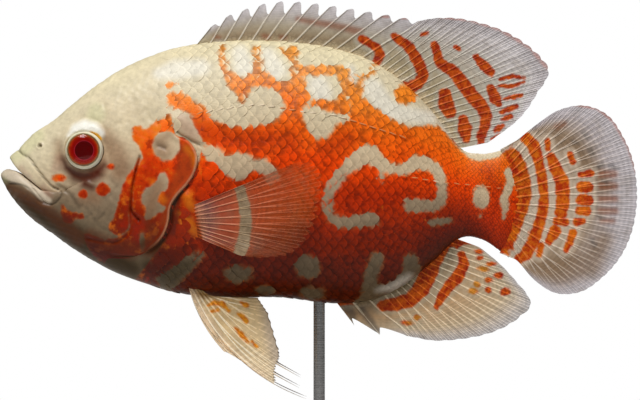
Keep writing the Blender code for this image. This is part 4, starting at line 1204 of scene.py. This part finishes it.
# Eyes
def turned(name, profile, centre, side, steps=64):
    """A profile of (radius, depth out of the head) in millimetres, spun about the line across the head."""
    bm = bmesh.new()
    verts = [bm.verts.new((radius * MM, side * depth * MM, 0)) for radius, depth in profile]
    edges = [bm.edges.new(pair) for pair in zip(verts, verts[1:])]
    bmesh.ops.spin(bm, geom=verts + edges, cent=(0, 0, 0), axis=(0, 1, 0), angle=2 * math.pi, steps=steps,
                   use_merge=True)
    bmesh.ops.remove_doubles(bm, verts=bm.verts[:], dist=0.005 * MM)
    bmesh.ops.translate(bm, verts=bm.verts[:], vec=centre)
    bmesh.ops.recalc_face_normals(bm, faces=bm.faces[:])
    mesh = from_bmesh(name, bm)
    outward(mesh)
    away = (get_coordinates(mesh) - np.array(centre)) / MM
    radius = np.hypot(away[:, 0], away[:, 2])
    add_attribute(mesh, "radius", radius + ease(4.6, 6.4, radius) * (away[:, 0] - away[:, 2]) * 0.05)
    mesh.shade_smooth()
    return linked(name, mesh)


PUPIL = 4.0
IRIS = 6.7


def arc(start, end, bulge, steps):
    """A bulging line of a profile between two points of it."""
    t = np.linspace(0, 1, steps)[:, None]
    line = np.array(start) + (np.array(end) - np.array(start)) * t
    line[:, 1] += bulge * np.sin(t[:, 0] * math.pi)
    return [tuple(point) for point in line]


def make_eyes():
    """Each a ball with a hollow pupil and a raised pale ring, and a domed cornea set into it."""
    balls, corneas = [], []
    for side, word in SIDES:
        centre = Vector(place(EYE[0], side * EYE_Y, EYE[1]))
        ball = [(0.0, 3.6), (PUPIL * 0.5, 3.65), (PUPIL - 0.25, 3.75), (PUPIL, 4.0), (PUPIL + 0.3, 4.1)]
        ball += arc((PUPIL + 0.6, 4.15), (IRIS + 0.2, 4.35), 0.1, 8)
        ball += arc((IRIS + 0.5, 4.5), (EYE_RADIUS, 2.2), 0.35, 10)
        rear = np.linspace(0.12, math.pi / 2, 10)
        ball += [(EYE_RADIUS * math.cos(a), 2.2 - 7.5 * math.sin(a)) for a in rear]
        ball[-1] = (0.0, ball[-1][1])
        balls.append(turned("eyeball_" + word, ball, centre, side))
        dome = [(0.0, 6.4), (1.6, 6.32), (3.2, 6.04), (4.8, 5.5), (6.0, 4.98), (6.8, 4.66), (7.1, 4.4)]
        back = [(6.6, 3.9), (4.8, 3.5), (3.2, 3.3), (0.0, 3.2)]
        corneas.append(turned("cornea_" + word, dome + back, centre, side))
    return balls, corneas


# Materials
def linear(code):
    """Linear RGBA from an sRGB hex colour."""
    values = [int(code[i:i + 2], 16) / 255 for i in (1, 3, 5)]
    return (*(v / 12.92 if v <= 0.04045 else ((v + 0.055) / 1.055) ** 2.4 for v in values), 1.0)


def node(tree, kind, settings=None, links=None):
    """Adds a node, sets its properties and sockets, and links sockets to other nodes' outputs."""
    made = tree.nodes.new(kind)
    for key, value in (settings or {}).items():
        if isinstance(key, str) and hasattr(made, key):
            setattr(made, key, value)
        else:
            made.inputs[key].default_value = value
    for key, source in (links or {}).items():
        tree.links.new(source, made.inputs[key])
    return made


def ramp(tree, factor, stops):
    made = node(tree, "ShaderNodeValToRGB", {}, {"Fac": factor})
    elements = made.color_ramp.elements
    while len(elements) < len(stops):
        elements.new(0.5)
    for element, (position, colour) in zip(elements, stops):
        element.position = position
        element.color = linear(colour)
    return made.outputs["Color"]


def blank(name):
    made = bpy.data.materials.new(name)
    made.use_nodes = True
    tree = made.node_tree
    return made, tree, tree.nodes["Principled BSDF"]


def maths(tree, operation, first, second=None, third=None, clamp=False):
    made = node(tree, "ShaderNodeMath", {"operation": operation, "use_clamp": clamp})
    for slot, value in enumerate((first, second, third)):
        if value is None:
            continue
        if isinstance(value, (int, float)):
            made.inputs[slot].default_value = value
        else:
            tree.links.new(value, made.inputs[slot])
    return made.outputs["Value"]


def remap(tree, value, low, high, to_low=0.0, to_high=1.0):
    made = node(tree, "ShaderNodeMapRange", {"interpolation_type": "SMOOTHSTEP"}, {"Value": value})
    for key, number in zip(("From Min", "From Max", "To Min", "To Max"), (low, high, to_low, to_high)):
        made.inputs[key].default_value = number
    return made.outputs["Result"]


def mixed(tree, factor, first, second):
    made = node(tree, "ShaderNodeMix", {"data_type": "RGBA"})
    for key, value in ((0, factor), (6, first), (7, second)):
        if isinstance(value, str):
            made.inputs[key].default_value = linear(value)
        elif isinstance(value, (int, float)):
            made.inputs[key].default_value = value
        else:
            tree.links.new(value, made.inputs[key])
    return made.outputs[2]


def attribute(tree, name):
    return node(tree, "ShaderNodeAttribute", {"attribute_name": name}).outputs["Fac"]


def tinted(tree, colour, *tints):
    """A colour with each (attribute, weight, tint) laid over it in turn."""
    for name, weight, tint in tints:
        colour = mixed(tree, maths(tree, "MULTIPLY", attribute(tree, name), weight), colour, tint)
    return colour


def noise(tree, per_mm, detail=3.0, rough=0.5, stretch=None):
    """Noise on Object coordinates, its grain given in cycles to a millimetre."""
    coordinates = node(tree, "ShaderNodeTexCoord").outputs["Object"]
    if stretch:
        mapping = node(tree, "ShaderNodeMapping", {}, {"Vector": coordinates})
        mapping.inputs["Scale"].default_value = stretch
        coordinates = mapping.outputs["Vector"]
    made = node(tree, "ShaderNodeTexNoise", {"Scale": per_mm / MM, "Detail": detail, "Roughness": rough},
                {"Vector": coordinates})
    return made.outputs["Fac"]


def swing(tree, value):
    """A value that runs about 0 instead of 0.5."""
    return maths(tree, "SUBTRACT", value, 0.5)


# The body's colours from back to belly, darker towards the belly: partly the fish's own darker belly and
# partly painted shade from the light above
ORANGE_STOPS = ((0.0, "#f8a848"), (0.2, "#fa8a24"), (0.34, "#fe680e"), (0.46, "#fa4a04"), (0.58, "#c43402"),
                (0.7, "#922400"), (0.84, "#6a1a00"), (1.0, "#501e00"))
PALE_STOPS = ((0.0, "#ecdfb8"), (0.16, "#e3d5b3"), (0.3, "#dccaa8"), (0.44, "#d6be9c"), (0.56, "#ae987c"),
              (0.68, "#8a765e"), (0.82, "#6e5e48"), (1.0, "#6c5a40"))
FRINGE = "#e0a45c"


def marks_edge(tree):
    """How far inside the markings, mm, with an uneven border."""
    return maths(tree, "MULTIPLY_ADD", swing(tree, noise(tree, 0.45, 3.0)), 1.8, attribute(tree, "orange"))


def marks_mask(tree, edge):
    """1 on the markings and 0 off them, over a soft border a millimetre wide."""
    return remap(tree, edge, -0.7, 0.4)


def body_tone(tree, level):
    """Where on the way from back to belly the colours are taken, a little patchy."""
    return maths(tree, "MULTIPLY_ADD", swing(tree, noise(tree, 0.06, 4.0)), 0.2, level)


def body_colours(tree):
    """Orange with a yellower fringe, pale, and where the orange is. Both darken from back to belly: partly
    the belly's own colour and partly painted shade.
    """
    tone = body_tone(tree, attribute(tree, "round"))
    edge = marks_edge(tree)
    fringe = maths(tree, "MULTIPLY", remap(tree, edge, 1.1, -0.3), remap(tree, tone, 0.55, 0.4, 0.15, 0.6))
    orange = mixed(tree, fringe, ramp(tree, tone, ORANGE_STOPS), FRINGE)
    return orange, ramp(tree, tone, PALE_STOPS), marks_mask(tree, edge)


def scaled_colour(tree, colour, factor):
    """A colour made lighter or darker by a factor."""
    made = node(tree, "ShaderNodeVectorMath", {"operation": "SCALE"}, {0: colour, "Scale": factor})
    return made.outputs[0]


def one_plus(tree, *parts):
    """1 with each (value, weight) added."""
    total = 1.0
    for value, weight in parts:
        total = maths(tree, "MULTIPLY_ADD", value, weight, total)
    return total


def bumped(tree, shader, height, strength, distance):
    """Fine relief, distance in millimetres."""
    settings = {"Strength": strength, "Distance": distance * MM}
    bump = node(tree, "ShaderNodeBump", settings, {"Height": height})
    tree.links.new(bump.outputs["Normal"], shader.inputs["Normal"])


def skin_material():
    """Moist fish skin over muscle: slime makes it semi-gloss, and pigment cells show as fine mottling."""
    made, tree, shader = blank("moist_skin")
    orange, pale, mask = body_colours(tree)
    fine = noise(tree, 0.5, 5.0, 0.6)
    pale = scaled_colour(tree, pale, one_plus(tree, (swing(tree, noise(tree, 0.11, 5.0, 0.6)), 0.5)))
    # dark tint under the jaw, the throat and the breast is painted shade
    pale = tinted(tree, pale, ("cool", 0.6, "#f2efe4"), ("green", 0.45, "#d2d3a2"),
                  # tan is partly painted shade behind the eye and in the gill cover's dimple
                  ("pink", 0.5, "#b8907c"), ("tan", 0.6, "#8a5f40"), ("underside_shade", 0.95, "#3c2a0a"),
                  # brown lays a painted shadow under the eye
                  # pale lays painted highlights on the lower lip, beside the nostril and on the pectoral
                  # fin's root
                  ("rust", 0.5, "#6a3218"), ("brown", 0.95, "#4c1000"), ("pale", 0.85, "#dcccb4"),
                  ("white", 0.95, "#fffdf2"), ("streak", 1.0, "#e8a420"))
    orange = mixed(tree, 0.1, orange, "#7c1a00")
    clouds = noise(tree, 0.22, 5.0, 0.6)
    orange = mixed(tree, remap(tree, clouds, 0.5, 0.36, 0.0, 0.75), orange, "#9c2004")
    orange = mixed(tree, remap(tree, clouds, 0.52, 0.7, 0.0, 0.6), orange, "#f07c1c")
    orange = tinted(tree, orange, ("red", 0.5, "#b02200"), ("cover", 0.6, "#92401a"),
                    ("underside_shade", 0.8, "#4c1202"), ("rust", 0.7, "#6a2608"), ("gold", 0.5, "#ee8a1c"))
    # hollow lays painted shadow at the pectoral fin's root and behind the gill cover
    both = tinted(tree, mixed(tree, mask, pale, orange), ("hollow", 0.7, "#4a1e12"),
                  # the dark gap behind the gill cover is painted shade
                  ("gill_slit_shade", 0.9, "#3a1206"), ("lip", 0.6, "#e2a47c"))
    # painted shade darkens the creases and the nostril
    tone = one_plus(tree, (swing(tree, fine), 0.5), (attribute(tree, "painted_fold_shade"), -0.62))
    tree.links.new(scaled_colour(tree, both, tone), shader.inputs["Base Color"])
    bumped(tree, shader, fine, 0.25, 0.4)
    shader.inputs["Roughness"].default_value = 0.36
    shader.inputs["Specular IOR Level"].default_value = 0.16
    return made


def scale_material():
    """Wet ctenoid scales: semi-gloss, a painted highlight along each one's free edge, and painted shade in
    the folds between.
    """
    made, tree, shader = blank("wet_scales")
    orange, pale, mask = body_colours(tree)
    # painted shade where neighbouring scales overlap this one
    painted_fold_shade = remap(tree, attribute(tree, "bare"), 0.95, -0.1, -0.1, 1.0)
    from_rim = attribute(tree, "rim")
    # a painted highlight along each scale's free edge
    rim = remap(tree, from_rim, 0.4, 0.05)
    shade = swing(tree, attribute(tree, "shade"))
    blotch = swing(tree, noise(tree, 0.7, 4.0, 0.6))
    # the dark tint under the breast is painted shade
    pale = tinted(tree, pale, ("cool", 0.6, "#f2efe4"), ("underside_shade", 0.7, "#40341c"))
    tone = one_plus(tree, (painted_fold_shade, -0.16), (rim, 0.12), (shade, 0.04), (blotch, 0.25))
    pale = scaled_colour(tree, pale, tone)
    orange = tinted(tree, orange, ("red", 0.6, "#b82a02"), ("underside_shade", 0.8, "#4c1202"))
    tone = one_plus(tree, (painted_fold_shade, -0.42), (rim, 0.18), (shade, 0.15), (blotch, 0.65))
    orange = scaled_colour(tree, orange, tone)
    tree.links.new(mixed(tree, mask, pale, orange), shader.inputs["Base Color"])
    fans = maths(tree, "SINE", maths(tree, "MULTIPLY", attribute(tree, "across"), 24.0))
    arcs = maths(tree, "SINE", maths(tree, "MULTIPLY", from_rim, 22.0))
    grain = maths(tree, "MULTIPLY_ADD", maths(tree, "ADD", fans, arcs), 0.1, noise(tree, 1.2, 4.0, 0.6))
    bumped(tree, shader, grain, 0.35, 0.3)
    shader.inputs["Roughness"].default_value = 0.33
    shader.inputs["Specular IOR Level"].default_value = 0.16
    return made


def pore_material():
    """Wet skin over the lateral line's canals, pale and glossy."""
    made, tree, shader = blank("lateral_canal_skin")
    pale = mixed(tree, 0.5, ramp(tree, body_tone(tree, 0.3), PALE_STOPS), "#f0dcc0")
    mask = marks_mask(tree, marks_edge(tree))
    tree.links.new(mixed(tree, mask, pale, "#d8884e"), shader.inputs["Base Color"])
    shader.inputs["Roughness"].default_value = 0.35
    shader.inputs["Specular IOR Level"].default_value = 0.3
    return made


def fin_material(name, stops, ray, marks, halo, halo_share, dark, seen_through=0.0):
    """Fin membrane over bony rays: satin and lets light through, and the rays stand out paler. It takes
    the membrane's colours from root to edge, the rays' colour, the markings' two and their border's."""
    made, tree, shader = blank(name)
    out = attribute(tree, "out")
    rays = attribute(tree, "ray")
    mask = marks_mask(tree, marks_edge(tree))
    # the dark brown tint on the pectoral fin's lower part and root is painted shade
    base = tinted(tree, ramp(tree, out, stops), ("grey", 0.45, "#a8a0a4"), ("tan", 0.75, "#96785a"),
                  ("rust", 0.7, "#a05a34"), ("flesh", 0.9, "#fce0bc"), ("dark", 0.6, "#5e5a58"),
                  ("blush", 0.7, "#d08c80"), ("pectoral_shade", 0.6, "#6a3016"))
    base = mixed(tree, remap(tree, noise(tree, 0.12, 4.0), 0.5, 0.68, 0.0, 0.25), base, "#8e7a62")
    on_ray = maths(tree, "MULTIPLY", remap(tree, rays, 0.1, 0.95, 0.0, 0.6), remap(tree, out, 0.0, 0.07))
    base = mixed(tree, on_ray, base, ray)
    base = mixed(tree, remap(tree, attribute(tree, "orange"), -3.0, -0.8, 0.0, halo_share), base, halo)
    marked = mixed(tree, remap(tree, noise(tree, 0.3, 4.0, 0.65), 0.36, 0.64), *marks)
    marked = tinted(tree, marked, ("gold", 0.75, "#e0a038"))
    marked = mixed(tree, remap(tree, rays, 0.5, 1.0, 0.0, 0.25), marked, "#f0a458")
    base = mixed(tree, mask, base, marked)
    blotch = swing(tree, noise(tree, 0.5, 5.0, 0.65))
    valley = remap(tree, rays, 0.25, 0.0)
    scaly = node(tree, "ShaderNodeTexVoronoi", {"feature": "DISTANCE_TO_EDGE", "Scale": 0.6 / MM},
                 {"Vector": node(tree, "ShaderNodeTexCoord").outputs["Object"]}).outputs["Distance"]
    scaly = maths(tree, "MULTIPLY", remap(tree, scaly, 0.22, 0.0), remap(tree, out, 0.26, 0.08))
    cells = maths(tree, "SINE", maths(tree, "MULTIPLY", out, 150.0))
    cells = maths(tree, "MULTIPLY", cells, remap(tree, out, 0.35, 0.55))
    tone = one_plus(tree, (blotch, 0.5), (valley, -dark), (scaly, -0.14), (cells, 0.06))
    tree.links.new(scaled_colour(tree, base, tone), shader.inputs["Base Color"])
    joints = maths(tree, "MULTIPLY", maths(tree, "SINE", maths(tree, "MULTIPLY", out, 240.0)), rays)
    grain = maths(tree, "MULTIPLY_ADD", joints, 0.3, noise(tree, 0.8))
    bumped(tree, shader, maths(tree, "MULTIPLY_ADD", scaly, -2.0, grain), 0.3, 0.2)
    if seen_through:
        solid = remap(tree, out, 0.05, 0.8, 1.0, 1 - seen_through)
        solid = maths(tree, "MULTIPLY_ADD", rays, 0.3, solid)
        solid = maths(tree, "MULTIPLY", solid, remap(tree, out, 1.0, 0.8, 0.35, 1.0))
        solid = maths(tree, "MAXIMUM", solid, maths(tree, "MULTIPLY", mask, 0.75), clamp=True)
        tree.links.new(solid, shader.inputs["Alpha"])
    shader.inputs["Roughness"].default_value = 0.5
    shader.inputs["Specular IOR Level"].default_value = 0.15
    return made


def eye_material():
    """Living eye: a dark-red pupil with a thin bright ring, a red iris and a pale outer ring."""
    made, tree, shader = blank("red_iris")
    radius = maths(tree, "DIVIDE", attribute(tree, "radius"), 10.0)  # 1 is 10 mm from its middle
    streaks = maths(tree, "MULTIPLY", swing(tree, noise(tree, 0.8, 3.0)), 0.05)
    uneven = maths(tree, "MULTIPLY_ADD", streaks, remap(tree, radius, 0.45, 0.55), radius)
    colour = ramp(tree, uneven, (
        (0.0, "#640002"), (0.385, "#6c0002"), (0.4, "#c8283a"), (0.42, "#c8283a"), (0.44, "#b00a02"),
        (0.55, "#c01602"), (0.62, "#cc4a10"), (0.66, "#b07848"), (0.685, "#6a5634"), (0.71, "#b8aa84"),
        (0.745, "#eae4c8"), (0.82, "#f8f4e0"),
    ))
    tree.links.new(colour, shader.inputs["Base Color"])
    shader.inputs["Roughness"].default_value = 0.5
    shader.inputs["Specular IOR Level"].default_value = 0.0
    return made


def cornea_material():
    """Cornea: clear and wet, with water's refraction, so the iris is seen through a domed window."""
    made, _, shader = blank("clear_cornea")
    shader.inputs["Base Color"].default_value = (1, 1, 1, 1)
    shader.inputs["Transmission Weight"].default_value = 1.0
    shader.inputs["Roughness"].default_value = 0.0
    shader.inputs["IOR"].default_value = 1.34  # of water
    return made


def walnut_material():
    """Oiled walnut: brown with dark grain lines along the board, satin from the oil."""
    made, tree, shader = blank("oiled_walnut")
    coordinates = node(tree, "ShaderNodeTexCoord").outputs["Object"]
    mapping = node(tree, "ShaderNodeMapping", {}, {"Vector": coordinates})
    mapping.inputs["Scale"].default_value = (6.0, 90.0, 90.0)
    rings = node(tree, "ShaderNodeTexNoise",
                 {"Scale": 6.0, "Detail": 6.0, "Roughness": 0.6, "Distortion": 0.6},
                 {"Vector": mapping.outputs["Vector"]})
    grain = rings.outputs["Fac"]
    colour = ramp(tree, grain, ((0.3, "#3a2214"), (0.5, "#5d3a22"), (0.62, "#6f4a2c"), (0.75, "#422817")))
    tree.links.new(colour, shader.inputs["Base Color"])
    bumped(tree, shader, grain, 0.2, 0.2)
    shader.inputs["Roughness"].default_value = 0.38
    return made


def steel_material():
    """Stainless steel bar, brushed round by the lathe."""
    made, tree, shader = blank("brushed_stainless_steel")
    lines = noise(tree, 0.05, 4.0, 0.6, (1.0, 1.0, 60.0))
    tree.links.new(remap(tree, lines, 0.3, 0.7, 0.2, 0.36), shader.inputs["Roughness"])
    tree.links.new(ramp(tree, lines, ((0.3, "#a9abae"), (0.7, "#c9cbce"))), shader.inputs["Base Color"])
    shader.inputs["Metallic"].default_value = 1.0
    return made


def plaster_material():
    """Matt pale studio floor."""
    made, tree, shader = blank("pale_floor")
    colour = ramp(tree, noise(tree, 0.01, 2.0), ((0.3, "#dedcd8"), (0.7, "#e6e4e0")))
    tree.links.new(colour, shader.inputs["Base Color"])
    shader.inputs["Roughness"].default_value = 0.8
    return made


# Stage
CAMERA_AWAY = 3.0
FRAME_WIDTH = 640 * PIXEL * MM
FRAME_MIDDLE = 320
FLOOR_RADIUS = 0.36
KEY_POWER = 46.0
BACK_POWER = 9.0
ROOM_STRENGTH = 0.13


def make_camera():
    """Straight across at the fish's left side, far enough back to look as flat as in the photograph."""
    data = bpy.data.cameras.new("camera")
    data.lens = data.sensor_width * CAMERA_AWAY / FRAME_WIDTH
    camera = bpy.data.objects.new("camera", data)
    camera.location = place((FRAME_MIDDLE - FIRST_COLUMN) * PIXEL, -CAMERA_AWAY / MM, 0.0)
    camera.rotation_euler = (math.radians(90), 0, 0)
    bpy.context.scene.collection.objects.link(camera)
    bpy.context.scene.camera = camera


def area_light(name, size, power, location, target):
    data = bpy.data.lights.new(name, "AREA")
    data.shape = "DISK"
    data.size = size
    data.energy = power
    light = bpy.data.objects.new(name, data)
    light.location = location
    light.rotation_euler = (Vector(target) - Vector(location)).to_track_quat("-Z", "Y").to_euler()
    bpy.context.scene.collection.objects.link(light)


def make_lights():
    """A large soft light overhead and towards the camera, a weak one behind, and a dim room. The camera
    sees white paper where the room is."""
    middle = (0, 0, AXIS_HEIGHT * MM)
    area_light("key", 1.0, KEY_POWER, (-0.35, -1.2, 1.95), middle)
    area_light("back", 0.8, BACK_POWER, (0.4, 1.2, 1.2), middle)
    world = bpy.data.worlds.new("room")
    world.use_nodes = True
    tree = world.node_tree
    room = tree.nodes["Background"]
    room.inputs["Color"].default_value = linear("#f8f2e8")
    room.inputs["Strength"].default_value = ROOM_STRENGTH
    paper = node(tree, "ShaderNodeBackground", {"Color": (1, 1, 1, 1), "Strength": 1.0})
    seen = node(tree, "ShaderNodeLightPath").outputs["Is Camera Ray"]
    both = node(tree, "ShaderNodeMixShader", {}, {0: seen, 1: room.outputs[0], 2: paper.outputs[0]})
    tree.links.new(both.outputs[0], tree.nodes["World Output"].inputs["Surface"])
    bpy.context.scene.world = world
    bpy.context.scene.view_settings.view_transform = "Standard"


def make_floor():
    bm = bmesh.new()
    bmesh.ops.create_circle(bm, cap_ends=True, segments=96, radius=FLOOR_RADIUS)
    floor = linked("floor", from_bmesh("floor", bm))
    floor.data.materials.append(plaster_material())


def finished(piece, material, slot, *nodes):
    """Gives a piece its material, rides it on the fish and hides any parts of the model that it stands in
    for.
    """
    piece.data.materials.clear()
    piece.data.materials.append(material)
    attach(piece, "root")
    if nodes:
        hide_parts(*nodes)


make_camera()
make_lights()
make_floor()

skin = make_skin()
finished(skin, skin_material(), "head_skin", "head", "lower_jaw", "gill_cover_left",
         "gill_cover_right", "trunk", "tail_stalk")

all_places = scaled(scale_places())
thirds = np.array_split(all_places[np.argsort(all_places[:, 0], kind="stable")], 3)
scales = scale_material()
pores = pore_material()
for side, word in SIDES:
    finished(make_pores("lateral_line_" + word, side), pores, "body_scales")
    for part, chosen in zip(("front", "middle", "rear"), thirds):
        piece = make_scales(f"scales_{word}_{part}", chosen, side, SCALE_SEEDS[word])
        finished(piece, scales, "body_scales")

fin_finishes = {
    "dorsal_fin": fin_material(
        "dorsal_membrane",
        ((0.0, "#e6cea4"), (0.1, "#c6b48e"), (0.4, "#cabca4"), (0.75, "#dcd4d2"), (1.0, "#ece6ea")),
        "#ddd6c8", ("#ac2a02", "#e4620e"), "#d4d0c2", 0.4, 0.24,
    ),
    "anal_fin": fin_material(
        "anal_membrane",
        ((0.0, "#8e7c58"), (0.15, "#b8a080"), (0.45, "#e6be90"), (0.75, "#e6cca8"), (1.0, "#dcd8da")),
        "#f6ead0", ("#b42a02", "#ee6c10"), "#dccfb4", 0.4, 0.32,
    ),
    "tail_fin": fin_material(
        "tail_membrane",
        ((0.0, "#e8d4bc"), (0.3, "#ccb498"), (0.6, "#bca48e"), (0.8, "#ccc2c4"), (1.0, "#dcd6dc")),
        "#dccfc2", ("#c83604", "#f67e12"), "#f0dcc4", 0.6, 0.24,
    ),
    "pectoral": fin_material(
        "pectoral_membrane",
        ((0.0, "#c85e28"), (0.04, "#d08a6c"), (0.1, "#a2625a"), (0.2, "#bc583c"), (0.5, "#cc5a2e"),
         (1.0, "#d0601f")),
        "#e4a684", ("#9a8466", "#b49c7c"), "#c86e48", 0.4, 0.2, 0.6,
    ),
    "pelvic": fin_material(
        "pelvic_membrane",
        ((0.0, "#96703e"), (0.1, "#dcb880"), (0.3, "#fcdca6"), (0.8, "#f6deb8"), (0.9, "#ece2d4"),
         (1.0, "#fcf8f0")),
        "#fffae4", ("#e07808", "#ffac2c"), "#fadca8", 0.4, 0.25,
    ),
}
for target, piece in make_fins().items():
    kind = target if target in fin_finishes else target.split("_")[0]
    slot = "median_fin_membrane" if target in fin_finishes else "paired_fin_membrane"
    finished(piece, fin_finishes[kind], slot, target)

balls, corneas = make_eyes()
iris, clear = eye_material(), cornea_material()
for (_, word), ball, cornea in zip(SIDES, balls, corneas):
    finished(ball, iris, "eye", "eye_" + word)
    finished(cornea, clear, "eye")

for name, finish in (("stand_base", walnut_material()), ("stand_rod", steel_material())):
    piece = bpy.data.objects[name]
    piece.data.materials.clear()
    piece.data.materials.append(finish)
